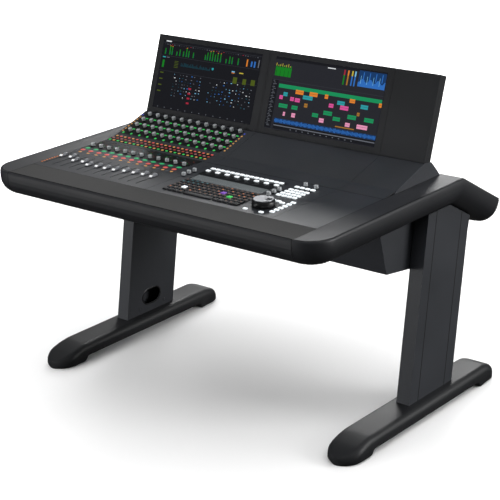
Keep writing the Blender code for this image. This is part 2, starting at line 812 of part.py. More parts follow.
def turned(name, profile, finish, steps=24):
    """A solid of revolution about Z. The profile runs down its outer side from the top."""
    bm = bmesh.new()
    verts = [bm.verts.new((radius, 0, height)) for radius, height in profile]
    for a, b in zip(verts, verts[1:]):
        bm.edges.new((a, b))
    mesh = bpy.data.meshes.new(name)
    bm.to_mesh(mesh)
    bm.free()
    obj = add_object(name, mesh, finish)
    screw = obj.modifiers.new("screw", "SCREW")
    screw.steps = steps
    screw.render_steps = steps
    screw.use_merge_vertices = True
    screw.merge_threshold = 1e-5
    return obj


def build_editor_knobs():
    rim = KNOB_RADIUS
    top = KNOB_CLEARANCE + KNOB_HEIGHT
    profile = [
        (0, top), (rim - 0.001, top), (rim, top - 0.001), (rim, KNOB_CLEARANCE),
        (KNOB_SHAFT_RADIUS, KNOB_CLEARANCE), (KNOB_SHAFT_RADIUS, KNOB_CLEARANCE - KNOB_SHAFT_LENGTH),
        (0, KNOB_CLEARANCE - KNOB_SHAFT_LENGTH),
    ]
    first = turned("editor_knob_1", profile, knob_metal(), 12)
    mesh = baked(first)
    for index, (x, y) in enumerate(EDITOR_KNOBS):
        knob = first if index == 0 else add_object(f"editor_knob_{index + 1}", mesh, None)
        knob.location = (BAY_TWO + x, y_at(y), DESK_HEIGHT)


def build_dial():
    gap, top = KNOB_CLEARANCE, KNOB_CLEARANCE + DIAL_HEIGHT
    profile = [
        (0, top), (DIAL_RADIUS * 0.80, top), (DIAL_RADIUS * 0.90, top - 0.0015),
        (DIAL_RADIUS * 0.97, top - 0.006), (DIAL_RADIUS, top - 0.010), (DIAL_RADIUS, gap + 0.002),
        (DIAL_RADIUS - 0.002, gap), (DIAL_SHAFT_RADIUS, gap), (DIAL_SHAFT_RADIUS, -0.014), (0, -0.014),
    ]
    dial = turned("search_dial", profile, black_plastic(), 32)
    baked(dial)
    dimple = bmesh.new()
    centre = (DIAL_RADIUS * 0.55, 0, top + 0.006)
    bmesh.ops.create_uvsphere(dimple, u_segments=12, v_segments=8, radius=0.010,
                              matrix=Matrix.Translation(centre))
    cutter = add_object("dial_dimple", mesh_from(dimple, "dial_dimple"), None)
    place = Matrix.Translation((BAY_TWO + DIAL_CENTRE[0], y_at(DIAL_CENTRE[1]), DESK_HEIGHT))
    cutter.matrix_world = place
    dial.matrix_world = place
    boolean(dial, cutter, "DIFFERENCE")


def build_transport_buttons():
    """Three single keys round the dial, each on its own post and foot under the deck."""
    width, depth = WHITE_KEY
    for index, (x, y) in enumerate(TRANSPORT_BUTTONS):
        name = f"transport_button_{index + 1}"
        button = box(
            name, (-width / 2, -depth / 2, -SHEET - 0.001), (width / 2, depth / 2, KEY_HEIGHT + 0.0012),
            key_rubber(),
        )
        foot = box(name + "_foot", (-0.004, -0.003, -SHEET - 0.006), (0.004, 0.003, -0.002))
        button.location = foot.location = (BAY_TWO + x, y_at(y), DESK_HEIGHT)
        boolean(button, foot, "UNION")


def build_faders():
    half = FADER_CAP_LENGTH / 2
    low, high = FADER_CAP_CLEARANCE, FADER_CAP_CLEARANCE + FADER_CAP_HEIGHT
    valley = high - 0.0045
    side = [
        (-half, low), (half, low), (half * 0.80, high), (half * 0.45, high),
        (half * 0.15, valley), (-half * 0.15, valley), (-half * 0.45, high), (-half * 0.80, high),
    ]
    width = FADER_CAP_WIDTH / 2
    cap = outline_solid("fader_1", "YZ", [side], -width, width, knob_metal())
    stem = box(
        "fader_stem",
        (-FADER_STEM_THICKNESS / 2, -FADER_STEM_LENGTH / 2, -FADER_STEM_DEPTH),
        (FADER_STEM_THICKNESS / 2, FADER_STEM_LENGTH / 2, low + 0.003),
    )
    boolean(cap, stem, "UNION")
    turn = cap.matrix_world.copy()
    mesh = baked(cap)
    mesh.transform(turn)
    cap.matrix_world = Matrix.Identity(4)
    start = FADER_SLOT_FRONT + KNOB_CLEARANCE + FADER_STEM_LENGTH / 2
    for index, position in enumerate(FADER_POSITIONS):
        fader = cap if index == 0 else add_object(f"fader_{index + 1}", mesh, None)
        fader.location = (channel_x(index), y_at(start + position), DESK_HEIGHT)


# ---- Screens -----------------------------------------------------------------------------------


def on_monitor_plane(obj):
    """Tilts a piece modelled upright, its front on Y = 0 and its bottom on Z = 0."""
    base = Matrix.Translation((0, y_at(MONITOR_FROM_FRONT), z_at(MONITOR_LIFT)))
    obj.matrix_world = base @ Matrix.Rotation(-MONITOR_TILT, 4, "X")
    return obj


def build_monitors():
    shell, glass = black_plastic(), screen_glass()
    deep = GLASS_THICKNESS + 2 * GAP
    bays = (("left", BAY_ONE, BAY_TWO), ("right", BAY_TWO, BAY_THREE))
    for side, left, right in bays:
        left, right = left + PANEL_EDGE, right - PANEL_EDGE
        housing = box(f"{side}_monitor", (left, 0, 0), (right, MONITOR_THICKNESS, MONITOR_HEIGHT), shell)
        low = (left + GLASS_MARGIN, -0.01, GLASS_MARGIN)
        high = (right - GLASS_MARGIN, deep, MONITOR_HEIGHT - GLASS_MARGIN)
        pocket = box(f"{side}_pocket", low, high)
        on_monitor_plane(pocket)
        boolean(on_monitor_plane(housing), pocket, "DIFFERENCE")
        low = (low[0] + GAP, GAP, low[2] + GAP)
        high = (high[0] - GAP, GLASS_THICKNESS + GAP, high[2] - GAP)
        on_monitor_plane(box(f"{side}_screen", low, high, glass))
    left, right = BAY_THREE + PANEL_EDGE, INNER_HALF - PANEL_EDGE
    blank = box("blank_monitor_panel", (left, 0, 0), (right, MONITOR_THICKNESS, MONITOR_HEIGHT), shell)
    on_monitor_plane(blank)


def build_monitor_frame():
    """A steel plate behind the screens, whose lower edge stands just above the bridge."""
    half = INNER_HALF - FRAME_INSET
    near = MONITOR_THICKNESS + GAP
    low = (-half, near, FRAME_FOOT)
    plate = box("monitor_frame", low, (half, near + FRAME_THICKNESS, FRAME_TOP), powder_coat())
    on_monitor_plane(bevel(plate, 0.002, 1))


# ---- Chassis -----------------------------------------------------------------------------------


def chassis_outline(wall, top):
    """Side outline of the tray, drawn in from its outside by the wall's thickness."""
    lean = (CHASSIS_BOX_FRONT - CHASSIS_STEP) / (CHASSIS_BOX_DROP - RIM_THICKNESS)
    fall = (CHASSIS_REAR_DROP - CHASSIS_BOX_DROP) / (CHASSIS_REAR - CHASSIS_BOX_FRONT)
    floor = -RIM_THICKNESS + wall
    step = CHASSIS_STEP + wall * (1 + lean)
    corner_drop = CHASSIS_BOX_DROP - wall
    corner = CHASSIS_BOX_FRONT + wall * (1 - lean)
    rear = CHASSIS_REAR - wall
    return [
        (BOLSTER_DEPTH + 2 * GAP + wall, floor), (step, floor), (corner, -corner_drop),
        (rear, -corner_drop - fall * (rear - corner)), (rear, top), (BOLSTER_DEPTH + 2 * GAP + wall, top),
    ]


def build_chassis():
    half = INNER_HALF - 0.0012
    outer = section(chassis_outline(0, -CHASSIS_RIM_DROP))
    tray = outline_solid("chassis_tray", "YZ", [outer], -half, half, powder_coat())
    inner = section(chassis_outline(CHASSIS_WALL, 0.010))
    hollow = outline_solid("chassis_hollow", "YZ", [inner], -half + CHASSIS_WALL, half - CHASSIS_WALL)
    boolean(tray, hollow, "DIFFERENCE")

    width, depth, height = SUPPLY_SIZE
    fall = (CHASSIS_REAR_DROP - CHASSIS_BOX_DROP) / (CHASSIS_REAR - CHASSIS_BOX_FRONT)
    start = CHASSIS_REAR - 0.050 - depth
    floor = CHASSIS_WALL - CHASSIS_BOX_DROP - fall * (start - CHASSIS_BOX_FRONT)
    supply = box("power_supply", (-width / 2, 0, 2 * GAP), (width / 2, depth, height), powder_coat())
    base = Matrix.Translation((0, y_at(start), z_at(floor)))
    supply.matrix_world = base @ Matrix.Rotation(-math.atan(fall), 4, "X")


def build_fader_board():
    """The board that the faders ride over, hung from the deck by four posts."""
    width, depth, height = BOARD_SIZE
    left = channel_x(0) - CHANNEL_PITCH * 0.2
    low = Vector((left, y_at(FADER_SLOT_FRONT), z_at(-BOARD_DROP)))
    high = low + Vector((width, depth, height))
    board = box("fader_circuit_board", low, high, board_green())
    behind_slots = FADER_SLOT_FRONT + slot_length() + 0.010
    posts = []
    for x in (channel_x(0) + CHANNEL_PITCH / 2, channel_x(CHANNELS - 1) - CHANNEL_PITCH / 2):
        for y in (y_at(FADER_SLOT_FRONT + 0.008), y_at(behind_slots)):
            half = BOARD_POST / 2
            foot, head = high.z - height / 2, z_at(-SHEET - GAP)
            posts.append(((x - half, y - half, foot), (x + half, y + half, head)))
    boolean(board, boxes("board_posts", posts), "UNION")


def build_power_inlet():
    """A mains inlet on the chassis's rear wall, with its socket open to the rear."""
    width, depth, height = INLET_SIZE
    x = -INNER_HALF * 0.75
    middle = z_at(-(CHASSIS_REAR_DROP * 0.80))
    wall = y_at(CHASSIS_REAR) + GAP
    low = (x - width / 2, wall, middle - height / 2)
    inlet = box("power_inlet", low, (x + width / 2, wall + depth, middle + height / 2), black_plastic())
    socket = box(
        "inlet_socket",
        (x - 0.0125, wall + 0.004, middle - 0.0085),
        (x + 0.0125, wall + depth + 0.010, middle + 0.0085),
    )
    boolean(inlet, socket, "DIFFERENCE")


# ---- Legs --------------------------------------------------------------------------------------


def foot_bottom(s):
    """Height of the underside at a distance from the foot's front end."""
    length = OVERALL_DEPTH - FOOT_FRONT
    blend = 0.016
    front, rear = FOOT_PADS
    if s <= front or s >= length - rear:
        return 0.0
    reach = min(s - front, length - rear - s) / blend
    if reach >= 1:
        return FOOT_ARCH
    return FOOT_ARCH * math.sin(reach * math.pi / 2)


def foot_top(s):
    """Height of the crown, which falls to the nose at each end."""
    length = OVERALL_DEPTH - FOOT_FRONT
    front, rear = FOOT_RAMPS
    fall = FOOT_HEIGHT - FOOT_NOSE
    if s < front:
        return FOOT_HEIGHT - fall * ((front - s) / front) ** 2.1
    if s > length - rear:
        return FOOT_HEIGHT - fall * ((s - length + rear) / rear) ** 1.9
    return FOOT_HEIGHT


def foot_half_width(s):
    """Half the plan's width: round ends of the foot's own radius."""
    length = OVERALL_DEPTH - FOOT_FRONT
    radius = FOOT_WIDTH / 2
    near = min(s, length - s)
    if near >= radius:
        return radius
    return math.sqrt(max(0, radius**2 - (radius - near) ** 2))


def foot_ring(s, steps=4):
    half = max(foot_half_width(s), 0.006)
    top, bottom = foot_top(s), foot_bottom(s)
    fillet = min(FOOT_FILLET, half * 0.6, (top - bottom) * 0.55)
    pad = min(FOOT_PAD_BEVEL if bottom == 0 else 0.003, half * 0.3)
    side = [(half - pad, bottom), (half, bottom + pad * 0.9)]
    for step in range(steps + 1):
        angle = math.pi / 2 * step / steps
        side.append((half - fillet + fillet * math.cos(angle), top - fillet + fillet * math.sin(angle)))
    ring = side + [(-x, z) for x, z in reversed(side)]
    return [(x, y_at(FOOT_FRONT + s), z) for x, z in ring]


def foot_stations():
    length = OVERALL_DEPTH - FOOT_FRONT
    radius = FOOT_WIDTH / 2
    ends = [radius * (1 - math.cos(math.pi / 2 * i / 7)) for i in range(8)]
    front, rear = FOOT_RAMPS
    ramps = [radius + (front - radius) * t for t in (0.35, 0.7, 1)]
    ramps += [length - radius - (rear - radius) * t for t in (0.5, 1)]
    arch = [FOOT_PADS[0] + 0.016 * t for t in (0, 0.3, 0.65, 1)]
    arch += [length - FOOT_PADS[1] - 0.016 * t for t in (0, 0.3, 0.65, 1)]
    every = ends + [length - s for s in ends] + ramps + arch
    return sorted(set(round(s, 6) for s in every))


def build_feet():
    rings = [foot_ring(s) for s in foot_stations()]
    right = loft("right_foot", rings, foot_paint())
    left = add_object("left_foot", right.data, None)
    right.location.x = LEG_SPACING / 2
    left.location.x = -LEG_SPACING / 2


def lean(obj, base):
    """Leans an upright piece back, its foot at the given height staying where it is."""
    mesh = obj.data
    mesh.transform(obj.matrix_world)
    obj.matrix_world = Matrix.Identity(4)
    for vertex in mesh.vertices:
        vertex.co.y += COLUMN_LEAN * (vertex.co.z - base)
    return obj


def column_section():
    """Plan of the right column: a channel open on its outer side, where the cover sits."""
    outer = LEG_SPACING / 2 + COLUMN_THICKNESS / 2
    inner = outer - COLUMN_THICKNESS
    front = y_at(COLUMN_FROM_FRONT)
    rear = front + COLUMN_DEPTH
    middle = (front + rear) / 2
    mouth = COVER_WIDTH / 2 + COVER_GAP
    wall = COLUMN_WALL
    return [
        (inner, front), (outer, front), (outer, middle - mouth), (outer - wall, middle - mouth),
        (outer - wall, front + wall), (inner + wall, front + wall), (inner + wall, rear - wall),
        (outer - wall, rear - wall), (outer - wall, middle + mouth), (outer, middle + mouth),
        (outer, rear), (inner, rear),
    ]


def column_cover_section():
    """Plan of the cover: a flush face with a wider lip behind the column's flanges."""
    outer = LEG_SPACING / 2 + COLUMN_THICKNESS / 2
    middle = y_at(COLUMN_FROM_FRONT) + COLUMN_DEPTH / 2
    face = COVER_WIDTH / 2
    lip = face + COVER_LIP
    back = outer - COLUMN_WALL - GAP
    return [
        (outer, middle - face), (outer, middle + face), (back, middle + face), (back, middle + lip),
        (back - 0.002, middle + lip), (back - 0.002, middle - lip), (back, middle - lip), (back, middle - face),
    ]


def trim_under_arm(obj, name):
    """Cuts an upright piece along the sloped underside that the arm has behind its knee."""
    knee = KNEE_FROM_FRONT - RIM_THICKNESS * math.tan(KNEE_ANGLE / 2)
    fall = math.tan(KNEE_ANGLE)
    drop = -RIM_THICKNESS - 2 * GAP
    side = [(knee - 0.1, drop + 0.1 * fall), (knee + 0.3, drop - 0.3 * fall), (knee + 0.3, 0.08), (knee - 0.1, 0.08)]
    cutter = outline_solid(name, "YZ", [section(side)], LEG_SPACING / 2 - 0.1, LEG_SPACING / 2 + 0.1)
    boolean(obj, cutter, "DIFFERENCE")
    baked(obj)


def build_columns():
    finish = powder_coat()
    low, high = FOOT_HEIGHT + GAP, z_at(-RIM_THICKNESS - GAP)
    column = outline_solid("right_column", "XY", [column_section()], low, high, finish)
    hole_y = y_at(COLUMN_FROM_FRONT) + COLUMN_DEPTH / 2
    length, height = CABLE_HOLE
    inner = LEG_SPACING / 2 - COLUMN_THICKNESS / 2
    loop = [(b, a) for a, b in stadium(low + CABLE_HOLE_RISE, hole_y, length, height)]
    hole = outline_solid("cable_hole", "YZ", [loop], inner - 0.01, inner + 0.02)
    boolean(column, hole, "DIFFERENCE")
    turn = column.matrix_world.copy()
    baked(column).transform(turn)
    column.matrix_world = Matrix.Identity(4)
    lean(column, low)
    rear = y_at(COLUMN_FROM_FRONT) + COLUMN_DEPTH
    outer = LEG_SPACING / 2 + COLUMN_THICKNESS / 2
    foot, top = high - FLARE_DROP, high
    wedge = [
        (rear - COLUMN_WALL / 2 + COLUMN_LEAN * (foot - low), foot),
        (rear + FLARE_DEPTH + COLUMN_LEAN * (top - low), top),
        (rear - COLUMN_WALL / 2 + COLUMN_LEAN * (top - low), top),
    ]
    gusset = outline_solid("column_gusset", "YZ", [wedge], inner, outer)
    boolean(column, gusset, "UNION")
    trim_under_arm(column, "column_trim")
    mirrored("left_column", column, finish)

    cover = outline_solid("right_column_cover", "XY", [column_cover_section()], low, high, finish)
    lean(cover, low)
    trim_under_arm(cover, "cover_trim")
    mirrored("left_column_cover", cover, finish)


def smooth_round_faces():
    """Rounded faces shade smoothly, and edges of 30 degrees and over stay crisp."""
    for mesh in {obj.data for obj in console.objects}:
        mesh.shade_smooth()
        mesh.set_sharp_from_angle(angle=math.radians(30))


def main():
    global console, cutters
    clear_scene()
    console = new_collection("mixing_console")
    cutters = new_collection("cutters")
    build_rim()
    build_flat_decks()
    build_raised_panels()
    build_bridge_and_cheeks()
    build_rear_hood()
    build_fader_mat()
    build_channel_mats()
    build_keyboard()
    build_editor_keypad()
    build_display()
    build_editor_knobs()
    build_dial()
    build_transport_buttons()
    build_faders()
    build_monitors()
    build_monitor_frame()
    build_chassis()
    build_fader_board()
    build_power_inlet()
    build_feet()
    build_columns()
    smooth_round_faces()


main()
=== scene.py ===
import math
import random

import bmesh
import bpy
from mathutils import Matrix, Vector, geometry


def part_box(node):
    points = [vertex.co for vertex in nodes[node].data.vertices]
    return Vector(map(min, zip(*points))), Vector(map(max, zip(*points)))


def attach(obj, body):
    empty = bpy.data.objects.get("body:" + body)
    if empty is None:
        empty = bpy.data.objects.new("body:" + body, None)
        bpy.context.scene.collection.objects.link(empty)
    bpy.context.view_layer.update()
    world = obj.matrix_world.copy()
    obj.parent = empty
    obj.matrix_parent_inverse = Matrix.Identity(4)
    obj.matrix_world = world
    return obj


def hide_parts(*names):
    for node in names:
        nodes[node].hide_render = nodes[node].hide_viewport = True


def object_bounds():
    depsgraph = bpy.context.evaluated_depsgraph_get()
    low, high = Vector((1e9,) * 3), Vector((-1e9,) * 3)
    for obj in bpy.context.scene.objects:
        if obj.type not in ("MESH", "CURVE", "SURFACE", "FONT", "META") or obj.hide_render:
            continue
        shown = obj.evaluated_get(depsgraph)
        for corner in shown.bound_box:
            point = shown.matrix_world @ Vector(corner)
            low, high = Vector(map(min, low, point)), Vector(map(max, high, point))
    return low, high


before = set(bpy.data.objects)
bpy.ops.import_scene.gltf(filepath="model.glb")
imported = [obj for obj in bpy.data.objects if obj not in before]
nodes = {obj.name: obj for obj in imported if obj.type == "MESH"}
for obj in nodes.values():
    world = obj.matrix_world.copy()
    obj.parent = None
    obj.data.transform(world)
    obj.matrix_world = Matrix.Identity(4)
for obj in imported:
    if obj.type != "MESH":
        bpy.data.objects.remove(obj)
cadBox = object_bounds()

noTurn = Matrix.Identity(4)

# the places that everything else is measured from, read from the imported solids
front = cadBox[0][1]
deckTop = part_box("fader_deck")[1].z
bayGap = 0.0004
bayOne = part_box("fader_deck")[0].x - bayGap
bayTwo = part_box("editor_deck")[0].x - bayGap
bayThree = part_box("end_panel")[0].x - bayGap
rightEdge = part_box("end_panel")[1].x + bayGap
bayWidth = bayThree - bayTwo


def boxOf(name):
    # a node's lowest corner, highest corner and middle
    low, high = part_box(name)
    return low, high, (low + high) / 2


# fold lines of the sheet panels: distance from the front, rise over the deck, tilt
folds = {
    "strip": (0.415, 0.0, math.atan2(0.0072, 0.064)),
    "slope": (0.479, 0.0072, math.atan2(0.0438, 0.1405)),
    "screen": (0.621, 0.0528, -math.radians(19.3)),
}


def foldPlace(name):
    distance, rise, tilt = folds[name]
    return Matrix.Translation((0, front + distance, deckTop + rise)) @ Matrix.Rotation(tilt, 4, "X")


onDeck = Matrix.Translation((0, front, deckTop))
onStrip = foldPlace("strip")
onSlope = foldPlace("slope")
onScreen = foldPlace("screen")


def colour(hexValue, alpha=1.0):
    channels = [int(hexValue[i:i + 2], 16) / 255 for i in (0, 2, 4)]
    return (*[c / 12.92 if c <= 0.04045 else ((c + 0.055) / 1.055) ** 2.4 for c in channels], alpha)


def addNode(tree, kind, links=None, **settings):
    node = tree.nodes.new(kind)
    for name, value in settings.items():
        setattr(node, name, value)
    for name, value in (links or {}).items():
        if isinstance(value, bpy.types.NodeSocket):
            tree.links.new(value, node.inputs[name])
        else:
            node.inputs[name].default_value = value
    return node


def newMaterial(name, **sockets):
    made = bpy.data.materials.new(name)
    made.use_nodes = True
    shader = made.node_tree.nodes["Principled BSDF"]
    for socket, value in sockets.items():
        shader.inputs[socket.replace("_", " ")].default_value = value
    return made, made.node_tree, shader


def grainBump(tree, shader, grain, depth, stretch=(1, 1, 1)):
    # a fine surface texture: grain is its size in metres, depth how far it stands up
    place = addNode(tree, "ShaderNodeTexCoord")
    turned = addNode(tree, "ShaderNodeMapping", {"Vector": place.outputs["Object"], "Scale": stretch})
    noise = addNode(tree, "ShaderNodeTexNoise", {
        "Vector": turned.outputs["Vector"], "Scale": 1 / grain, "Detail": 2.0, "Roughness": 0.6})
    bump = addNode(tree, "ShaderNodeBump", {
        "Height": noise.outputs["Fac"], "Strength": 1.0, "Distance": depth})
    tree.links.new(bump.outputs["Normal"], shader.inputs["Normal"])
    return turned.outputs["Vector"], noise.outputs["Fac"]


def mixColours(tree, factor, first, second):
    mix = addNode(tree, "ShaderNodeMix", {0: factor, 6: first, 7: second}, data_type="RGBA")
    return mix.outputs[2]


def spread(tree, value, low, high, start=0.3, end=0.7):
    node = addNode(tree, "ShaderNodeMapRange", {
        "Value": value, "From Min": start, "From Max": end, "To Min": low, "To Max": high})
    return node.outputs["Result"]


def texturedPaint(name, dark, light, roughness, grain, depth, cloud=0.22, **sockets):
    # powder coat and soft-touch paint: a fine orange peel, and slow clouds in tone and in gloss
    made, tree, shader = newMaterial(name, **sockets)
    vector, fine = grainBump(tree, shader, grain, depth)
    slow = addNode(tree, "ShaderNodeTexNoise", {"Vector": vector, "Scale": 1 / cloud, "Detail": 3.0})
    flecks = addNode(tree, "ShaderNodeMath", {0: slow.outputs["Fac"], 1: fine}, operation="MULTIPLY_ADD")
    flecks.inputs[2].default_value = 0.18
    tone = spread(tree, flecks.outputs["Value"], 0.0, 1.0, 0.3, 0.6)
    tree.links.new(mixColours(tree, tone, colour(dark), colour(light)), shader.inputs["Base Color"])
    gloss = spread(tree, slow.outputs["Fac"], roughness - 0.03, roughness + 0.04)
    tree.links.new(gloss, shader.inputs["Roughness"])
    return made


def litSilicone(name, glowHex, bodyHex, glow):
    # translucent silicone with a lamp under it: the middle glows and the skirt stays dim
    made, tree, shader = newMaterial(name, Roughness=0.45, IOR=1.41)
    fine = grainBump(tree, shader, 0.0012, 0.00004)[1]
    place = addNode(tree, "ShaderNodeTexCoord")
    facing = addNode(tree, "ShaderNodeSeparateXYZ", {"Vector": place.outputs["Normal"]})
    edge = spread(tree, facing.outputs["Z"], 1.0, 0.0, 0.25, 0.9)
    lit = mixColours(tree, edge, colour(glowHex), colour(bodyHex))
    mottled = mixColours(tree, spread(tree, fine, 0.0, 0.25), lit, colour(bodyHex))
    tree.links.new(mottled, shader.inputs["Emission Color"])
    tree.links.new(mixColours(tree, edge, colour(bodyHex), colour(glowHex)), shader.inputs["Base Color"])
    shader.inputs["Emission Strength"].default_value = glow
    return made


def turnedMetal(name, hexValue, roughness, ring=0.0006, metallic=1.0):
    # a turned knob: fine rings round the axis streak the shine. Lacquer over plastic is less metallic than 1
    made, tree, shader = newMaterial(name, Metallic=metallic)
    fine = grainBump(tree, shader, ring, 0.00003, stretch=(0.3, 0.3, 2.5))[1]
    base = mixColours(tree, spread(tree, fine, 0.0, 1.0), colour(hexValue), colour("8f9194"))
    tree.links.new(base, shader.inputs["Base Color"])
    tree.links.new(spread(tree, fine, roughness - 0.05, roughness + 0.07), shader.inputs["Roughness"])
    return made


def screenInk(name, hexValue, glow=1.0):
    # one colour of a backlit screen: faint upright stripes under a smooth cover
    made, tree, shader = newMaterial(name, Roughness=0.18, IOR=1.5)
    place = addNode(tree, "ShaderNodeTexCoord")
    rows = addNode(tree, "ShaderNodeTexWave", {
        "Vector": place.outputs["Object"], "Scale": 260.0, "Distortion": 0.0}, bands_direction="X")
    tone = mixColours(tree, spread(tree, rows.outputs["Fac"], 0.0, 0.22, 0.0, 1.0),
                      colour(hexValue), colour("000000"))
    tree.links.new(tone, shader.inputs["Emission Color"])
    shader.inputs["Base Color"].default_value = colour("08080a")
    shader.inputs["Emission Strength"].default_value = glow
    return made


finishes = {
    # epoxy powder coat on folded steel: an even satin skin with a slight orange peel
    "deck": texturedPaint("satinPowderCoat", "1f2124", "292b2f", 0.42, 0.0014, 0.00004,
                          Specular_IOR_Level=0.55),
    # the same coat with a coarser grain, on the legs and the bodywork
    "coat": texturedPaint("finePowderCoat", "2c2e32", "383a3f", 0.50, 0.0018, 0.00006),
    # soft-touch lacquer over moulded foam: deep and even, with a broad dull shine
    "trim": texturedPaint("softTouchLacquer", "1b1c1f", "222326", 0.50, 0.0011, 0.00003),
    # embossed vinyl where the hands rest: more matt than what is round it
    "palm": texturedPaint("embossedPalmVinyl", "232323", "2b2b2b", 0.68, 0.0016, 0.00009,
                          Specular_IOR_Level=0.3),
    # sand-cast iron under smooth paint: the sand's slow waves show in the shine
    "foot": texturedPaint("paintedCastIron", "17181a", "1e1f21", 0.52, 0.0040, 0.00010),
    # moulded polycarbonate with a spark-eroded grain
    "bezel": texturedPaint("mouldedBezelPlastic", "17181a", "1d1e21", 0.45, 0.0009, 0.00003),
    "blackPlastic": texturedPaint("mouldedBlackPlastic", "0d0d0f", "141416", 0.38, 0.0008, 0.00003),
    "keycap": texturedPaint("matteKeycapPlastic", "141517", "1c1d20", 0.50, 0.0006, 0.00004),
    # a printed panel of satin black plastic round the keys and knobs
    "panel": texturedPaint("satinBlackPanel", "08090a", "0d0e10", 0.30, 0.0200, 0.00001,
                           Specular_IOR_Level=0.35),
    # black rubber; the same finish paints the shade in the arms' top groove and in the gap at the slope's
    # foot
    "gasket": texturedPaint("blackRubberAndPaintedGapShade", "060607", "0a0a0b", 0.75, 0.0010, 0.00005),
    "board": texturedPaint("greenSolderMask", "0f3a20", "14502c", 0.35, 0.0030, 0.00004),
    "metal": turnedMetal("metallicLacqueredKnob", "b4b9bb", 0.34, metallic=0.35),
    "capMetal": turnedMetal("metallicLacqueredCap", "8c8e94", 0.34, metallic=0.5),
    "dialTop": turnedMetal("spunDialFace", "8a8c91", 0.36, 0.0010),
    "screw": turnedMetal("zincPlatedScrew", "b8bac0", 0.28),
    # a painted highlight in white on the front slope of each fader cap, where the light catches it
    "bright": texturedPaint("capNosePaintedHighlight", "e6e8ea", "f4f5f6", 0.30, 0.0006, 0.00001),
    # the reflective display has no lamp: its grey glow is painted light for the light it reflects
    "lcd": screenInk("greyDisplayPaintedGlow", "747a7c", 0.75),
}
# lit keys and lamps: the colour of the glow, the colour of the silicone, how bright
lamps = {
    "dimGrey": ("5a5e64", "2c2e32", 0.35), "rose": ("b07878", "3c1d1d", 0.7),
    "green": ("3ecb5c", "0b3a18", 1.0), "greenKey": ("2fae6a", "0c4226", 0.9),
    "red": ("e0605a", "511a18", 0.9), "orange": ("f08a3c", "4a2410", 1.0),
    "amber": ("d9a05a", "46301a", 0.9), "dimRed": ("b04a3c", "3c1512", 0.8),
    "white": ("f4f8fa", "9fa6aa", 0.9), "cyan": ("1f8f9a", "0b3238", 0.9),
    "blue": ("4a55c8", "12163c", 0.9), "purple": ("8a58c8", "24143a", 0.9),
    "brown": ("8a5a36", "2c1a0e", 0.7),
}
for tint, (glowHex, bodyHex, glow) in lamps.items():
    finishes[tint] = litSilicone("litSilicone" + tint[0].upper() + tint[1:], glowHex, bodyHex, glow)
print("materials made:", len(finishes))


def lathe(profile, steps, flutes=0, fluteDepth=0.0):
    # turns (radius, height) pairs round Z, with shallow flutes where the radius is the largest
    shape = bmesh.new()
    widest = max(radius for radius, height in profile)
    rings = []
    for radius, height in profile:
        if radius < 1e-6:
            rings.append([shape.verts.new((0, 0, height))])
            continue
        ring = []
        for step in range(steps):
            angle = 2 * math.pi * step / steps
            cut = fluteDepth * (0.5 - 0.5 * math.cos(angle * flutes)) if radius > widest * 0.93 else 0
            reach = radius - cut
            ring.append(shape.verts.new((reach * math.cos(angle), reach * math.sin(angle), height)))
        rings.append(ring)
    for upper, lower in zip(rings, rings[1:]):
        for step in range(steps):
            after = (step + 1) % steps
            corners = [upper[step % len(upper)], upper[after % len(upper)],
                       lower[after % len(lower)], lower[step % len(lower)]]
            unique = []
            for corner in corners:
                if corner not in unique:
                    unique.append(corner)
            shape.faces.new(unique)
    return asMesh(shape)


def asMesh(shape):
    bmesh.ops.recalc_face_normals(shape, faces=shape.faces)
    mesh = bpy.data.meshes.new("shape")
    shape.to_mesh(mesh)
    shape.free()
    return mesh


def block(width, depth, height, edge=0.0008, segments=1, taper=0.0):
    # a box standing on its place, with rounded edges and sides that may draw in towards the top
    shape = bmesh.new()
    bmesh.ops.create_cube(shape, size=1, matrix=Matrix.Translation((0, 0, 0.5)))
    for vertex in shape.verts:
        pull = 1 - taper if vertex.co.z > 0.5 else 1
        vertex.co = (vertex.co.x * width * pull, vertex.co.y * depth * pull, vertex.co.z * height)
    upper = [e for e in shape.edges if max(v.co.z for v in e.verts) > height * 0.5]
    if edge:
        bmesh.ops.bevel(shape, geom=upper, offset=edge, segments=segments, affect="EDGES", profile=0.6)
    return asMesh(shape)


def buildTree(name, sockets, fill):
    tree = bpy.data.node_groups.new(name, "GeometryNodeTree")
    for socket, kind in sockets:
        tree.interface.new_socket(socket, in_out="INPUT", socket_type="NodeSocket" + kind)
    tree.interface.new_socket("Result", in_out="OUTPUT", socket_type="NodeSocketGeometry")
    entry = addNode(tree, "NodeGroupInput")
    result = fill(tree, entry.outputs)
    addNode(tree, "NodeGroupOutput", {"Result": result})
    return tree


def placeShapes(tree, points, given):
    shape = addNode(tree, "GeometryNodeObjectInfo", {"Object": given["Shape"]})
    copies = addNode(tree, "GeometryNodeInstanceOnPoints", {
        "Points": points, "Instance": shape.outputs["Geometry"]})
    plain = addNode(tree, "GeometryNodeRealizeInstances", {"Geometry": copies.outputs["Instances"]})
    done = addNode(tree, "GeometryNodeSetMaterial", {
        "Geometry": plain.outputs["Geometry"], "Material": given["Finish"]})
    return done.outputs["Geometry"]


def fillGrid(tree, given):
    sizes = []
    for count, pitch in (("Across", "PitchAcross"), ("Along", "PitchAlong")):
        less = addNode(tree, "ShaderNodeMath", {0: given[count], 1: 1.0}, operation="SUBTRACT")
        size = addNode(tree, "ShaderNodeMath", {0: less.outputs[0], 1: given[pitch]}, operation="MULTIPLY")
        sizes.append(size.outputs[0])
    grid = addNode(tree, "GeometryNodeMeshGrid", {
        "Size X": sizes[0], "Size Y": sizes[1], "Vertices X": given["Across"], "Vertices Y": given["Along"]})
    return placeShapes(tree, grid.outputs["Mesh"], given)


def fillPoints(tree, given):
    return placeShapes(tree, given["Points"], given)


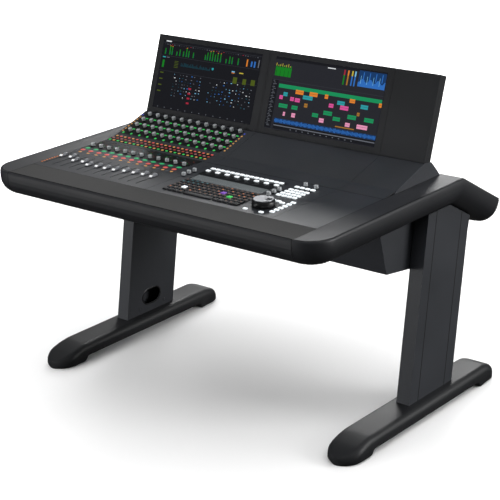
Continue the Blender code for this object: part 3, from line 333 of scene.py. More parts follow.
shapeSockets = [("Shape", "Object"), ("Finish", "Material")]
gridSockets = [("Across", "Int"), ("Along", "Int"), ("PitchAcross", "Float"), ("PitchAlong", "Float")]
pointTree = buildTree("shapesOnPoints", [("Points", "Geometry")] + shapeSockets, fillPoints)
gridTree = buildTree("shapesOnGrid", gridSockets + shapeSockets, fillGrid)


def runTree(tree, base, shape, values):
    # evaluates a tree once and keeps its result as a plain mesh
    sample = bpy.data.objects.new("sample", shape)
    holder = bpy.data.objects.new("holder", base)
    for piece in (sample, holder):
        bpy.context.scene.collection.objects.link(piece)
    modifier = holder.modifiers.new("build", "NODES")
    modifier.node_group = tree
    for item in tree.interface.items_tree:
        if item.in_out == "INPUT" and item.name in values:
            modifier[item.identifier] = values[item.name]
        if item.in_out == "INPUT" and item.name == "Shape":
            modifier[item.identifier] = sample
    bpy.context.view_layer.update()
    graph = bpy.context.evaluated_depsgraph_get()
    mesh = bpy.data.meshes.new_from_object(holder.evaluated_get(graph))
    for piece in (sample, holder):
        bpy.data.objects.remove(piece, do_unlink=True)
    return mesh


def onPoints(points, shape, finish):
    base = bpy.data.meshes.new("points")
    base.from_pydata([tuple(point) for point in points], [], [])
    return runTree(pointTree, base, shape, {"Finish": finishes[finish]})


def onGrid(across, along, pitchAcross, pitchAlong, shape, finish):
    # the grid's first shape stands at the origin
    mesh = runTree(gridTree, bpy.data.meshes.new("empty"), shape, {
        "Across": across, "Along": along, "PitchAcross": pitchAcross, "PitchAlong": pitchAlong,
        "Finish": finishes[finish]})
    mesh.transform(Matrix.Translation(((across - 1) * pitchAcross / 2, (along - 1) * pitchAlong / 2, 0)))
    return mesh


def painted(mesh, finish):
    mesh.materials.clear()
    mesh.materials.append(finishes[finish])
    return mesh


def joinPiece(name, parts, body="console", replaces=(), sharp=35):
    # one object from many (mesh, place) pairs, standing at the origin
    whole = bmesh.new()
    used = []
    for mesh, place in parts:
        part = bmesh.new()
        part.from_mesh(mesh)
        part.transform(place)
        for face in part.faces:
            finish = mesh.materials[face.material_index]
            if finish not in used:
                used.append(finish)
            face.material_index = used.index(finish)
        moved = bpy.data.meshes.new("moved")
        part.to_mesh(moved)
        part.free()
        whole.from_mesh(moved)
        bpy.data.meshes.remove(moved)
    mesh = bpy.data.meshes.new(name)
    whole.to_mesh(mesh)
    whole.free()
    for finish in used:
        mesh.materials.append(finish)
    mesh.shade_smooth()
    mesh.set_sharp_from_angle(angle=math.radians(sharp))
    piece = bpy.data.objects.new(name, mesh)
    bpy.context.scene.collection.objects.link(piece)
    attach(piece, body)
    if replaces:
        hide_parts(*replaces)
    return piece


def move(x, y, z=0.0):
    return Matrix.Translation((x, y, z))


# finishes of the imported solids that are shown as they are
shown = {
    "deck": ["fader_deck", "editor_deck", "channel_panel", "middle_slope_panel", "end_panel"],
    "palm": ["palm_strip"],
    "coat": ["monitor_bridge", "left_cheek", "right_cheek", "rear_hood", "monitor_frame", "chassis_tray",
             "power_supply", "left_column", "right_column", "left_column_cover", "right_column_cover"],
    "bezel": ["left_monitor", "right_monitor", "blank_monitor_panel", "left_screen", "right_screen"],
    "blackPlastic": ["power_inlet", "display_strip"],
    "board": ["fader_circuit_board"],
}
for finish, names in shown.items():
    for name in names:
        node = nodes[name]
        node.data.materials.clear()
        node.data.materials.append(finishes[finish])
print("packed solids finished:", sum(len(names) for names in shown.values()))

# the round mouldings and the feet are shown by merged copies, whose bends are shaded without facets
rounded = {"sharp": 28, "names": {
    ("trim", "padded trim"): ["left_arm", "right_arm", "front_bolster"],
    ("foot", "foot paint"): ["left_foot", "right_foot"],
}}
skins = [(name, *pair) for pair, names in rounded["names"].items() for name in names]
for name, finish, slot in skins:
    shape = bmesh.new()
    shape.from_mesh(nodes[name].data)
    bmesh.ops.remove_doubles(shape, verts=shape.verts, dist=1e-5)
    skin = bpy.data.meshes.new(name)
    shape.to_mesh(skin)
    shape.free()
    piece = joinPiece(f"{name}_skin", [(painted(skin, finish), noTurn)],
                      replaces=[name], sharp=rounded["sharp"])
    even = piece.modifiers.new("even", "WEIGHTED_NORMAL")
    even.keep_sharp = True
    even.weight = 100
    bpy.context.view_layer.update()
    graph = bpy.context.evaluated_depsgraph_get()
    skin = bpy.data.meshes.new_from_object(piece.evaluated_get(graph))
    piece.modifiers.clear()
    piece.data = skin
print("round mouldings made:", len(skins))

# channel block: everything repeats at one pitch
channel = {
    "count": 12, "pitch": (bayWidth - 0.045) / 12,
    "panRow": 0.3505, "greenRow": 0.327, "redRow": 0.3045, "smallRow": 0.283,
    "stripRows": (0.0190, 0.0366, 0.0540),
    "encoderRows": (0.0308, 0.0645, 0.0981, 0.1312),
    "encoderOffset": 0.0156, "encoderShare": 0.994,
    "selectRow": 0.0157, "selectOffset": -0.0042,
}
firstChannel = bayOne + channel["pitch"] / 2
channelXs = [firstChannel + channel["pitch"] * i for i in range(channel["count"])]

knob = {"radius": 0.0065, "height": 0.0112, "base": 0.0074, "flutes": 18, "steps": 36}


def knobShapes():
    # body, skirt and pointer line of one small knob
    radius, height = knob["radius"], knob["height"]
    body = lathe([(0, height - 0.0003), (radius * 0.76, height - 0.0003), (radius * 0.84, height),
                  (radius * 0.94, height - 0.0003), (radius, height - 0.0011), (radius, 0.0019),
                  (radius * 0.9, 0.0015), (0, 0.0015)], knob["steps"], knob["flutes"], 0.0002)
    skirt = lathe([(0, 0.0018), (knob["base"] - 0.0008, 0.0018), (knob["base"], 0.0012),
                   (knob["base"], 0.0001), (0, 0.0001)], 20)
    pointer = block(0.0009, radius * 0.8, 0.0005, 0)
    pointer.transform(move(0, radius * 0.5, height - 0.0005))
    return body, skirt, pointer


knobBody, knobSkirt, knobPointer = knobShapes()


def channelRow(shape, finish):
    return onGrid(channel["count"], 1, channel["pitch"], 0.02, shape, finish)


def slopeRow(shape, finish):
    return onGrid(channel["count"], 1, channel["pitch"] * channel["encoderShare"], 0.02, shape, finish)


def knobParts(makeRow):
    shapes = ((knobBody, "metal"), (knobSkirt, "blackPlastic"), (knobPointer, "blackPlastic"))
    return [makeRow(shape, finish) for shape, finish in shapes]


bank = {"floor": 0.0025, "floorLift": -0.0027, "slopeDepth": 0.132, "slopeMiddle": 0.0738,
        "lamp": (0.0100, 0.0046, 0.0008, 0.0003), "lampOffset": (0.0030, 0.0118)}
place = onDeck @ move(firstChannel, channel["panRow"])
low, high, middle = boxOf("pan_encoders")
panFloor = painted(block(high.x - low.x, high.y - low.y, bank["floor"], 0), "panel")
parts = [(mesh, place) for mesh in knobParts(channelRow)]
parts.append((panFloor, move(middle.x, middle.y, deckTop + bank["floorLift"])))
joinPiece("pan_knob_row", parts, replaces=["pan_encoders"])

# four rows of knobs and the round keys on the slope
low, high, middle = boxOf("channel_encoders")
slopeFloor = painted(block(high.x - low.x, bank["slopeDepth"], bank["floor"], 0), "panel")
parts = [(slopeFloor, onSlope @ move(middle.x, bank["slopeMiddle"], bank["floorLift"]))]
for row, distance in enumerate(channel["encoderRows"]):
    place = onSlope @ move(firstChannel + channel["encoderOffset"], distance)
    parts += [(mesh, place) for mesh in knobParts(slopeRow)]
    if row < 3:
        # a lit lamp behind each knob
        parts.append((slopeRow(block(*bank["lamp"]), "green"), place @ move(*bank["lampOffset"])))
select = lathe([(0, 0.0014), (0.0030, 0.0013), (0.0042, 0.0007), (0.0042, 0.0001), (0, 0.0001)], 16)
parts.append((channelRow(select, "green"),
              onSlope @ move(firstChannel + channel["selectOffset"], channel["selectRow"])))
joinPiece("slope_knob_bank", parts, replaces=["channel_encoders"])
print("knob banks made")

# lamps of the level meters at each end of the slope and beside the first fader
meter = {"lamps": 7, "pitch": 0.0146, "start": 0.0246, "top": 0.1270, "left": 0.0038, "right": -0.0302,
         "sideLamps": 10, "sidePitch": 0.0108, "sideStart": (0.0036, 0.1410)}
meterLamp = block(0.0052, 0.0058, 0.0010, 0.0004)
parts = []
for x in (bayOne + meter["left"], bayTwo + meter["right"]):
    parts.append((onGrid(1, meter["lamps"], 0.01, meter["pitch"], meterLamp, "amber"),
                  onSlope @ move(x, meter["start"])))
    parts.append((onGrid(1, 1, 0.01, 0.01, meterLamp, "blue"), onSlope @ move(x, meter["top"])))
sideLamp = block(0.0045, 0.0050, 0.0006, 0.0002)
parts.append((onGrid(1, meter["sideLamps"], 0.01, meter["sidePitch"], sideLamp, "orange"),
              onDeck @ move(bayOne + meter["sideStart"][0], meter["sideStart"][1])))
joinPiece("level_meter_lamps", parts)


def oval(width, depth, height):
    shape = lathe([(0, height), (0.30, height * 0.96), (0.42, height * 0.72), (0.5, height * 0.2),
                   (0.5, 0.0001), (0, 0.0001)], 20)
    shape.transform(Matrix.Diagonal((width, depth, 1, 1)))
    return shape


# fader keypad: one oval green and one oval red key, and two small ones, on each channel
low, high, middle = boxOf("fader_keypad")
padWidth = high.x - low.x
floor = painted(block(padWidth, high.y - low.y, 0.0025, 0), "deck")
parts = [(floor, move(middle.x, middle.y, deckTop - 0.0026))]
small = oval(0.0120, 0.0085, 0.0010)
for shape, finish, row, x in (
        (oval(0.0185, 0.0140, 0.0013), "greenKey", "greenRow", 0.0),
        (oval(0.0175, 0.0140, 0.0013), "red", "redRow", 0.0),
        (small, "dimGrey", "smallRow", -0.25), (small, "amber", "smallRow", 0.25)):
    place = onDeck @ move(firstChannel + channel["pitch"] * x, channel[row])
    parts.append((channelRow(shape, finish), place))
joinPiece("fader_keys", parts, replaces=["fader_keypad"])

# three rows of small lit keys on the intermediate strip
rowFinishes = (("green", "amber"), ("rose", "dimRed"), ("amber", "red"))
stripKey = oval(0.0105, 0.0075, 0.0012)
parts = [(painted(block(padWidth, 0.0405, 0.0025, 0), "panel"),
          onStrip @ move(middle.x, 0.0405, -0.0027))]
for row, pair in zip(channel["stripRows"], rowFinishes):
    for side, finish in zip((-0.21, 0.29), pair):
        place = onStrip @ move(firstChannel + channel["pitch"] * side, row)
        parts.append((channelRow(stripKey, finish), place))
joinPiece("strip_keys", parts, replaces=["channel_keypad"])

# dark read-out behind the pan knobs, with short coloured marks and no lettering
readout = {"front": 0.3600, "rear": 0.4110, "height": 0.0004, "seed": 11}
random.seed(readout["seed"])
depth = readout["rear"] - readout["front"]
parts = [(painted(block(channel["pitch"] * 12, depth, readout["height"], 0.0002), "panel"),
          onDeck @ move(bayOne + channel["pitch"] * 6, (readout["front"] + readout["rear"]) / 2, 0.0001))]
mark = block(0.0046, 0.0010, 0.0003, 0)
spots = {"cyan": [], "green": [], "dimRed": [], "brown": []}
for x in channelXs:
    for line in range(4):
        tint = random.choice(list(spots))
        spots[tint].append((x + random.uniform(-0.006, 0.006), readout["front"] + 0.010 + line * 0.010, 0))
for tint, points in spots.items():
    parts.append((onPoints(points, mark, tint), onDeck @ move(0, 0, readout["height"] + 0.0001)))
joinPiece("channel_readout", parts)
print("channel block made")

# fader caps: grey metallic lacquer, with a white painted highlight on the nose towards the operator
cap = {"width": 0.0115, "bottom": 0.0015}
for index in range(channel["count"]):
    name = f"fader_{index + 1}"
    low, high, centre = boxOf(name)
    half, top = (high.y - low.y) / 2, high.z - deckTop
    # the cap's side outline, as (share of half its length, height over the deck)
    side = [(-1.0, 0.0020), (-0.99, 0.0034), (-0.80, 0.0062), (-0.62, 0.0074), (-0.42, 0.0066),
            (-0.14, 0.0040), (0.14, 0.0040), (0.42, 0.0070), (0.62, top), (0.86, top - 0.0002),
            (0.97, top - 0.0016), (1.0, 0.0034), (0.985, 0.0017), (-0.985, 0.0017)]
    shape = bmesh.new()
    rings = []
    for x, draw in ((-0.5, 0.95), (-0.43, 1.0), (0.43, 1.0), (0.5, 0.95)):
        rings.append([shape.verts.new((x * cap["width"], y * half * draw, z * draw)) for y, z in side])
    for left, right in zip(rings, rings[1:]):
        for i in range(len(side)):
            j = (i + 1) % len(side)
            face = shape.faces.new((left[i], left[j], right[j], right[i]))
            # the faces of the front slope carry the white painted highlight
            face.material_index = 1 if i in (1, 2, 3) else 0
    shape.faces.new(rings[0])
    shape.faces.new(rings[-1])
    body = asMesh(shape)
    body.materials.append(finishes["capMetal"])
    body.materials.append(finishes["bright"])
    line = painted(block(cap["width"] * 0.86, 0.0009, 0.0005, 0), "blackPlastic")
    stem = painted(block(0.0016, 0.0148, deckTop - low.z + cap["bottom"] + 0.001, 0), "blackPlastic")
    joinPiece(f"{name}_cap", [
        (body, move(centre.x, centre.y, deckTop)),
        (line, move(centre.x, centre.y, deckTop + 0.0038)),
        (stem, move(centre.x, centre.y, low.z))], body=name, replaces=[name])

# dark liners in the slots under the caps
liner = block(0.0030, 0.1180, 0.0012, 0)
joinPiece("fader_slot_liners", [
    (channelRow(liner, "gasket"),
     move(firstChannel, front + 0.136 + 0.0582, deckTop - 0.0125))])
print("faders made")

# typing keyboard
board = {
    "pitch": 0.01905, "left": 0.0395, "front": 0.137, "columns": 15, "rows": 6,
    "cap": 0.0158, "height": 0.0046, "seed": 5,
    "cyan": {(0, 4), (1, 4), (2, 4), (3, 4), (1, 5), (2, 5), (3, 5), (4, 5)},
    "white": {(2, 2), (2, 5)}, "purple": {(9, 3)}, "green": {(11, 2)},
}


def keyboardParts():
    random.seed(board["seed"])
    pitch = board["pitch"]
    capShape = block(board["cap"], board["cap"], board["height"], 0.0014, 2, 0.12)
    legend = block(0.0052, 0.0030, 0.0002, 0)
    wide = block(pitch * 5.4, board["cap"], board["height"], 0.0014, 2, 0.02)
    caps = []
    legends = {"brown": [], "cyan": [], "white": [], "purple": [], "green": [], "orange": []}
    whole = {"white": [], "purple": [], "green": []}
    for row in range(board["rows"]):
        for column in range(board["columns"]):
            x, y = (column + 0.5) * pitch, (row + 0.5) * pitch
            if row == 0 and 4 <= column <= 9:
                continue
            spot = (column, row)
            tint = next((t for t in ("cyan", "white", "purple", "green") if spot in board[t]), None)
            if tint in whole:
                whole[tint].append((x, y, 0))
                continue
            caps.append((x, y, 0))
            tint = tint or random.choice(("brown", "brown", "brown", "orange"))
            if row or random.random() < 0.5:
                legends[tint].append((x, y + 0.001, board["height"]))
    parts = [(painted(block(pitch * 15 - 0.0008, pitch * 6 - 0.0008, 0.0024, 0), "panel"),
              move(pitch * 7.5, pitch * 3, -0.0026)),
             (onPoints(caps, capShape, "keycap"), noTurn),
             (painted(wide, "keycap"), move(pitch * 7, pitch * 0.5))]
    parts += [(onPoints(points, legend, tint), noTurn) for tint, points in legends.items() if points]
    parts += [(onPoints(points, capShape, tint), noTurn) for tint, points in whole.items()]
    return parts


place = onDeck @ move(bayTwo + board["left"], board["front"])
parts = [(mesh, place @ at) for mesh, at in keyboardParts()]
joinPiece("keyboard_keys", parts, replaces=["typing_keyboard"])

# white keys of the editor section
editor = {
    "key": (0.0140, 0.0100, 0.0034),
    "displayLeft": 0.0368, "displayPitch": 0.01873, "displayRows": (0.3475, 0.3706),
    "numberLeft": 0.3590, "numberRows": (0.2822, 0.3010, 0.3200, 0.3390, 0.3675),
    "shuttle": (0.4400, 0.1530, 6), "shuttleShare": 0.975,
    "shuttleRow": ((0.3770, 0.2360), (0.3965, 0.2345), (0.4150, 0.2280)),
}
nearRow, farRow = editor["displayRows"]
column, start, count = editor["shuttle"]
keySpots = [(editor["displayLeft"] + editor["displayPitch"] * i, farRow) for i in range(15)]
keySpots += [(editor["displayLeft"] + editor["displayPitch"] * 2 * i, nearRow) for i in range(8)]
keySpots += [(editor["numberLeft"] + board["pitch"] * i, row)
             for row in editor["numberRows"] for i in range(4)]
keySpots += [(column, start + board["pitch"] * editor["shuttleShare"] * i) for i in range(count)]
keySpots += editor["shuttleRow"]
whitePoints = [(x, y, 0) for x, y in keySpots]
whiteKey = block(*editor["key"], 0.0012, 2)
low, high, middle = boxOf("editor_keypad")
sheetFloor = painted(block(high.x - low.x, 0.052, 0.0030, 0), "gasket")
joinPiece("editor_white_keys", [
    (onPoints(whitePoints, whiteKey, "white"), onDeck @ move(bayTwo, 0)),
    (sheetFloor, move(middle.x, high.y - 0.026, deckTop - 0.0065))],
    replaces=["editor_keypad"])
for index in range(3):
    name = f"transport_button_{index + 1}"
    low, high, centre = boxOf(name)
    button = painted(block(high.x - low.x, high.y - low.y, high.z - low.z, 0.0012, 2), "white")
    joinPiece(f"{name}_cap", [(button, move(centre.x, centre.y, low.z))],
              body=name, replaces=[name])

# dark surround of the display keys, and the grey display in its recess, whose glow is painted light for what
# its reflective face sends back
display = {"panel": (0.2900, 0.0003), "middle": 0.1718, "rows": ((0.3590, 0.0420), (0.3245, 0.0220)),
           "depth": 0.0440, "margin": 0.012, "tilt": math.radians(2.0)}
low, high, middle = boxOf("display_strip")
width, thickness = display["panel"]
parts = []
for y, depth in display["rows"]:
    parts.append((painted(block(width, depth, thickness, 0), "panel"),
                  onDeck @ move(bayTwo + display["middle"], y, 0.0001)))
joinPiece("display_key_surround", parts)
glass = painted(block(high.x - low.x - display["margin"], display["depth"], 0.0010, 0.0003), "lcd")
place = move(middle.x, middle.y - 0.002, high.z + 0.0012)
joinPiece("editor_display", [(glass, place @ Matrix.Rotation(display["tilt"], 4, "X"))])

# search dial
low, high, middle = boxOf("search_dial")
radius, top = (high.x - low.x) / 2, high.z - deckTop
drum = painted(lathe([(0, top - 0.0030), (radius * 0.86, top - 0.0030), (radius * 0.93, top - 0.0045),
                      (radius * 0.98, top - 0.0080), (radius, top - 0.0120), (radius, 0.0030),
                      (radius * 0.97, 0.0012), (radius * 0.18, 0.0012), (radius * 0.18, -0.0140),
                      (0, -0.0140)], 72, 36, 0.0003), "blackPlastic")
dimple = {"x": radius * 0.50, "y": radius * 0.10, "radius": radius * 0.26, "depth": 0.0034}
faceRadius = radius * 0.86
disc = lathe([(faceRadius * part / 14, top) for part in range(15)]
             + [(radius * 0.875, top - 0.0010), (faceRadius, top - 0.0040), (0, top - 0.0040)], 64)
for vertex in disc.vertices:
    away = math.hypot(vertex.co.x - dimple["x"], vertex.co.y - dimple["y"]) / dimple["radius"]
    if away < 1 and vertex.co.z > top - 0.0005:
        vertex.co.z -= dimple["depth"] * math.cos(away * math.pi / 2) ** 1.2
disc = painted(disc, "dialTop")
place = move(middle.x, middle.y, deckTop)
joinPiece("dial_drum_and_face", [(drum, place), (disc, place)],
          body="search_dial", replaces=["search_dial"])

for index in range(8):
    name = f"editor_knob_{index + 1}"
    low, high, middle = boxOf(name)
    place = move(middle.x, middle.y, deckTop + 0.0008)
    foot = low.z - deckTop
    shaft = painted(lathe([(0, 0.003), (0.003, 0.003), (0.003, foot), (0, foot)], 16), "metal")
    meshes = [painted(knobBody.copy(), "metal"), painted(knobPointer.copy(), "blackPlastic"),
              painted(knobSkirt.copy(), "blackPlastic")]
    joinPiece(f"{name}_cap", [(mesh, place) for mesh in meshes + [shaft]],
              body=name, replaces=[name])
print("editor section made")

# screens: rectangles of light in front of each cover, drawn in shares of the lit area
inks = {
    "back": "121318", "panel": "24252b", "line": "34363d", "grey": "6a6e76", "white": "e8ecef",
    "green": "0f7d1d", "clip": "14935a", "teal": "2aa0a8", "pink": "e0549c",
    "rose": "f09cc0", "orange": "e8862c", "blue": "2f6fc0", "navy": "123a6a", "red": "a8243a",
    "yellow": "c9b53c", "brown": "a8742c", "olive": "4c5a14", "deepTeal": "124a58", "sky": "7fc4ea",
}
screenFinish = {name: screenInk("screen" + name.capitalize(), value) for name, value in inks.items()}


def screenPiece(name, left, width, tiles):
    # tiles are (colour, left, top, right, bottom), later ones in front of earlier ones
    lit = {"bottom": 0.0180, "height": 0.2230, "step": 0.000004}
    shape = bmesh.new()
    order = []
    for depthIndex, (ink, u0, v0, u1, v1) in enumerate(tiles):
        if ink not in order:
            order.append(ink)
        away = -0.00005 - lit["step"] * depthIndex * 0.25 - (0.00015 if depthIndex else 0)
        corners = [(left + width * u, away, lit["bottom"] + lit["height"] * (1 - v))
                   for u, v in ((u0, v1), (u1, v1), (u1, v0), (u0, v0))]
        face = shape.faces.new([shape.verts.new(corner) for corner in corners])
        face.material_index = order.index(ink)
    mesh = bpy.data.meshes.new(name)
    shape.to_mesh(mesh)
    shape.free()
    for ink in order:
        mesh.materials.append(screenFinish[ink])
    joinPiece(name, [(mesh, onScreen)])


def leftTiles():
    random.seed(21)
    tiles = [("back", 0, 0, 1, 1), ("line", 0, 0.035, 1, 0.040), ("white", 0.03, 0.004, 0.085, 0.020)]
    for i in range(40):
        tiles.append((random.choice(("line", "line", "red", "grey")), 0.02 + i * 0.024, 0.055,
                      0.032 + i * 0.024, 0.062))
    bars = ((0.033, 0.086), (0.079, 0.125), (0.101, 0.120), (0.152, 0.060), (0.183, 0.095), (0.221, 0.075),
            (0.251, 0.125), (0.275, 0.095), (0.323, 0.080), (0.446, 0.075), (0.468, 0.112), (0.494, 0.130),
            (0.519, 0.140), (0.545, 0.100), (0.570, 0.120), (0.599, 0.120), (0.656, 0.062), (0.690, 0.105),
            (0.715, 0.100), (0.775, 0.095))
    for x, tall in bars:
        tiles.append(("green", x, 0.205 - tall, x + 0.0095, 0.205))
        tiles.append(("deepTeal", x + 0.011, 0.150, x + 0.014, 0.205))
        if tall > 0.115:
            tiles.append(("orange", x, 0.197 - tall, x + 0.0095, 0.205 - tall))
    tiles += [("orange", 0.862, 0.105, 0.874, 0.205), ("blue", 0.905, 0.125, 0.920, 0.200),
              ("blue", 0.935, 0.120, 0.950, 0.205), ("grey", 0.975, 0.09, 0.985, 0.20),
              ("line", 0, 0.225, 1, 0.229), ("teal", 0.02, 0.240, 0.05, 0.256),
              ("grey", 0.06, 0.242, 0.09, 0.252),
              ("green", 0.025, 0.290, 0.045, 0.400), ("line", 0, 0.445, 1, 0.449)]
    for i in range(5):
        tiles.append(("olive", 0.15, 0.285 + i * 0.022, 0.19, 0.293 + i * 0.022))
    x = 0.22
    while x < 0.52:
        tall = random.uniform(0.01, 0.075)
        tiles.append(("deepTeal", x, 0.345 - tall * 0.7, x + 0.003, 0.350))
        x += 0.008
    tiles += [("teal", 0.535, 0.300, 0.555, 0.325), ("teal", 0.54, 0.325, 0.55, 0.335),
              ("sky", 0.735, 0.300, 0.765, 0.315), ("orange", 0.735, 0.320, 0.765, 0.330),
              ("yellow", 0.810, 0.305, 0.850, 0.320), ("olive", 0.760, 0.380, 0.800, 0.470),
              ("olive", 0.855, 0.385, 0.890, 0.465), ("olive", 0.935, 0.380, 0.975, 0.460)]
    for x0, x1, columns in ((0.17, 0.47, 10), (0.54, 0.98, 13)):
        for row in range(8):
            for column in range(columns):
                if random.random() < 0.30:
                    continue
                u = x0 + (x1 - x0) * column / columns + random.uniform(-0.004, 0.004)
                v = 0.475 + row * 0.045 + random.uniform(-0.006, 0.006)
                size = random.choice((0.004, 0.006, 0.009, 0.014))
                ink = random.choice(("white", "sky", "grey", "deepTeal", "deepTeal", "grey", "blue"))
                tiles.append((ink, u, v, u + size, v + 0.010))
    for row in range(4):
        tiles.append(("red", 0.338, 0.64 + row * 0.070, 0.366, 0.665 + row * 0.070))
    for row in range(4):
        tiles.append(("olive", 0.02, 0.47 + row * 0.09, 0.055, 0.486 + row * 0.09))
    for i in range(13):
        tiles.append(("grey", 0.05 + i * 0.072, 0.972, 0.058 + i * 0.072, 0.984))
    return tiles


def rightTiles():
    random.seed(8)
    tiles = [("panel", 0, 0, 1, 1), ("back", 0, 0, 1, 0.035), ("white", 0.48, 0.045, 0.55, 0.058)]
    tiles.append(("green", 0.012, 0.140, 0.160, 0.262))
    for i in range(16):
        x = 0.013 + i * 0.0092
        tiles.append(("green", x, 0.105 + 0.020 * (i % 3), x + 0.0060, 0.145))
        if i % 2 == 0:
            tiles.append(("yellow", x, 0.085 + 0.012 * (i % 3), x + 0.0050, 0.125))
        if i % 4 == 1:
            tiles.append(("back", x, 0.180, x + 0.0022, 0.262))
    for x, lower, upper in ((0.628, "green", "red"), (0.662, "brown", "orange"), (0.698, "blue", "yellow"),
                            (0.724, "blue", "sky")):
        tiles.append((lower, x, 0.110, x + 0.012, 0.245))
        tiles.append((upper, x, 0.045, x + 0.012, 0.115))
    # a plain abstract picture: light bands over a dark blue ground
    tiles.append(("navy", 0.760, 0.020, 0.995, 0.236))
    for i in range(26):
        rise = 0.03 + 0.05 * math.sin(i * 0.42) ** 2
        tiles.append(("blue", 0.760 + i * 0.0090, 0.236 - rise - 0.030, 0.769 + i * 0.0090, 0.236))
        if i % 6 == 2:
            tiles.append(("sky", 0.763 + i * 0.0090, 0.090, 0.766 + i * 0.0090, 0.200))
        if i % 6 == 4:
            tiles.append(("blue", 0.763 + i * 0.0090, 0.040, 0.770 + i * 0.0090, 0.150))
    tiles += [("line", 0.0, 0.315, 1, 0.320), ("back", 0, 0.322, 0.060, 0.99)]
    for i in range(30):
        v = 0.330 + i * 0.0215
        tiles.append(("grey", 0.010 + 0.008 * (i % 2), v, 0.026 + 0.010 * (i % 3), v + 0.006))
    tiles.append(("clip", 0.070, 0.365, 0.995, 0.418))
    clips = {
        "orange": ((0.232, 0.413, 0.305, 0.471), (0.360, 0.412, 0.433, 0.469), (0.499, 0.412, 0.529, 0.469),
                   (0.721, 0.417, 0.768, 0.469), (0.974, 0.413, 0.998, 0.469)),
        "brown": ((0.330, 0.578, 0.360, 0.632), (0.803, 0.581, 0.826, 0.628), (0.635, 0.806, 0.802, 0.820)),
        "teal": ((0.125, 0.470, 0.163, 0.524), (0.306, 0.471, 0.394, 0.525), (0.617, 0.468, 0.682, 0.521),
                 (0.824, 0.470, 0.887, 0.526)),
        "pink": ((0.093, 0.520, 0.124, 0.574), (0.194, 0.522, 0.228, 0.576), (0.238, 0.526, 0.284, 0.580),
                 (0.548, 0.523, 0.589, 0.576), (0.649, 0.524, 0.722, 0.581)),
        "clip": ((0.100, 0.633, 0.181, 0.687), (0.220, 0.633, 0.275, 0.687), (0.512, 0.630, 0.589, 0.687),
                 (0.416, 0.686, 0.470, 0.739), (0.603, 0.689, 0.667, 0.742), (0.727, 0.630, 0.802, 0.687),
                 (0.874, 0.633, 0.954, 0.689)),
        "rose": ((0.152, 0.741, 0.171, 0.795), (0.231, 0.737, 0.265, 0.795), (0.485, 0.740, 0.527, 0.797),
                 (0.718, 0.740, 0.759, 0.793), (0.820, 0.737, 0.912, 0.794)),
    }
    for ink, places in clips.items():
        for u0, v0, u1, v1 in places:
            tiles.append((ink, u0, v0, u1, v1))
            tiles.append(("line", u0 + 0.003, v0 + 0.024, u1 - 0.003, v0 + 0.028))
    tiles.append(("navy", 0.082, 0.842, 0.998, 0.906))
    for i in range(84):
        u = 0.083 + i * 0.0109
        tall = 0.010 + 0.022 * abs(math.sin(i * 0.9)) * random.uniform(0.5, 1)
        tiles.append(("blue", u, 0.874 - tall, u + 0.0062, 0.874 + tall))
    tiles += [("back", 0.082, 0.912, 0.998, 0.990), ("grey", 0.085, 0.934, 0.996, 0.947)]
    for i in range(11):
        tiles.append(("grey", 0.240 + i * 0.055, 0.965, 0.252 + i * 0.055, 0.975))
    return tiles


screenPiece("left_screen_image", bayOne + 0.0220, 0.4187, leftTiles())
screenPiece("right_screen_image", bayTwo + 0.0268, 0.4195, rightTiles())
print("screens drawn")

# dark strips: painted shade in the groove round the top of both arms, and dark seams beside the decks
rim = {
    "inset": 0.0046, "width": 0.0042, "corner": 0.083, "kneeY": 0.7066, "angle": math.radians(30),
    "reach": 0.236, "lift": 0.00015,
}


def armPath(inset):
    # points along an arm's top, this far inside its outer edge, in the right arm's frame
    outer = cadBox[1][0] - inset
    centre = (cadBox[1][0] - rim["corner"], rim["corner"])
    reach = rim["corner"] - inset
    flat = [(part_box("right_arm")[0].x, inset)]
    for step in range(13):
        angle = math.pi / 2 * step / 12
        flat.append((centre[0] + reach * math.sin(angle), centre[1] - reach * math.cos(angle)))
    points = [Vector((x, front + y, deckTop)) for x, y in flat]
    points.append(Vector((outer, front + rim["kneeY"], deckTop)))
    along = Vector((0, math.cos(rim["angle"]), -math.sin(rim["angle"])))
    points.append(points[-1] + along * rim["reach"])
    return points


# a flat dark strip between two rows of points: painted shade in the groove and gaps, and the seams
def ribbon(first, second, lift):
    shape = bmesh.new()
    pairs = [(shape.verts.new(a + lift), shape.verts.new(b + lift)) for a, b in zip(first, second)]
    for (a, b), (c, d) in zip(pairs, pairs[1:]):
        shape.faces.new((a, b, d, c))
    return painted(asMesh(shape), "gasket")


up = Vector((0, 0, rim["lift"]))
grooveMesh = ribbon(armPath(rim["inset"]), armPath(rim["inset"] + rim["width"]), up)
flip = Matrix.Scale(-1, 4, (1, 0, 0))
otherGroove = ribbon([flip @ p for p in armPath(rim["inset"] + rim["width"])],
                     [flip @ p for p in armPath(rim["inset"])], up)
parts = [(grooveMesh, noTurn), (otherGroove, noTurn)]
seam = {"width": 0.0018, "start": 0.0085, "end": 0.6975}
for side in (-1, 1):
    x = side * (rightEdge + 0.0004)
    strip = [Vector((x - seam["width"] / 2, front + y, deckTop)) for y in (seam["start"], seam["end"])]
    other = [p + Vector((seam["width"], 0, 0)) for p in strip]
    parts.append((ribbon(strip, other, up), noTurn))
# painted shade in the gap where each panel of the slope meets its deck
fold = Vector((0, front + folds["strip"][0], deckTop))
reveal = [fold + Vector((x, -0.0010, 0)) for x in (bayOne, rightEdge)]
parts.append((ribbon(reveal, [p + Vector((0, 0.0018, 0)) for p in reveal], up), noTurn))
joinPiece("rim_joint_lines", parts)

# a rubber seal along the foot of the monitors, which closes the gap over the bridge
seal = {"depth": 0.010, "height": 0.0105, "behind": 0.014, "lower": 0.0090}
sealStrip = painted(block(rightEdge - bayOne - 0.002, seal["depth"], seal["height"], 0.0010), "gasket")
joinPiece("monitor_base_seal", [
    (sealStrip, onScreen @ move((bayOne + rightEdge) / 2, seal["behind"], -seal["lower"]))])

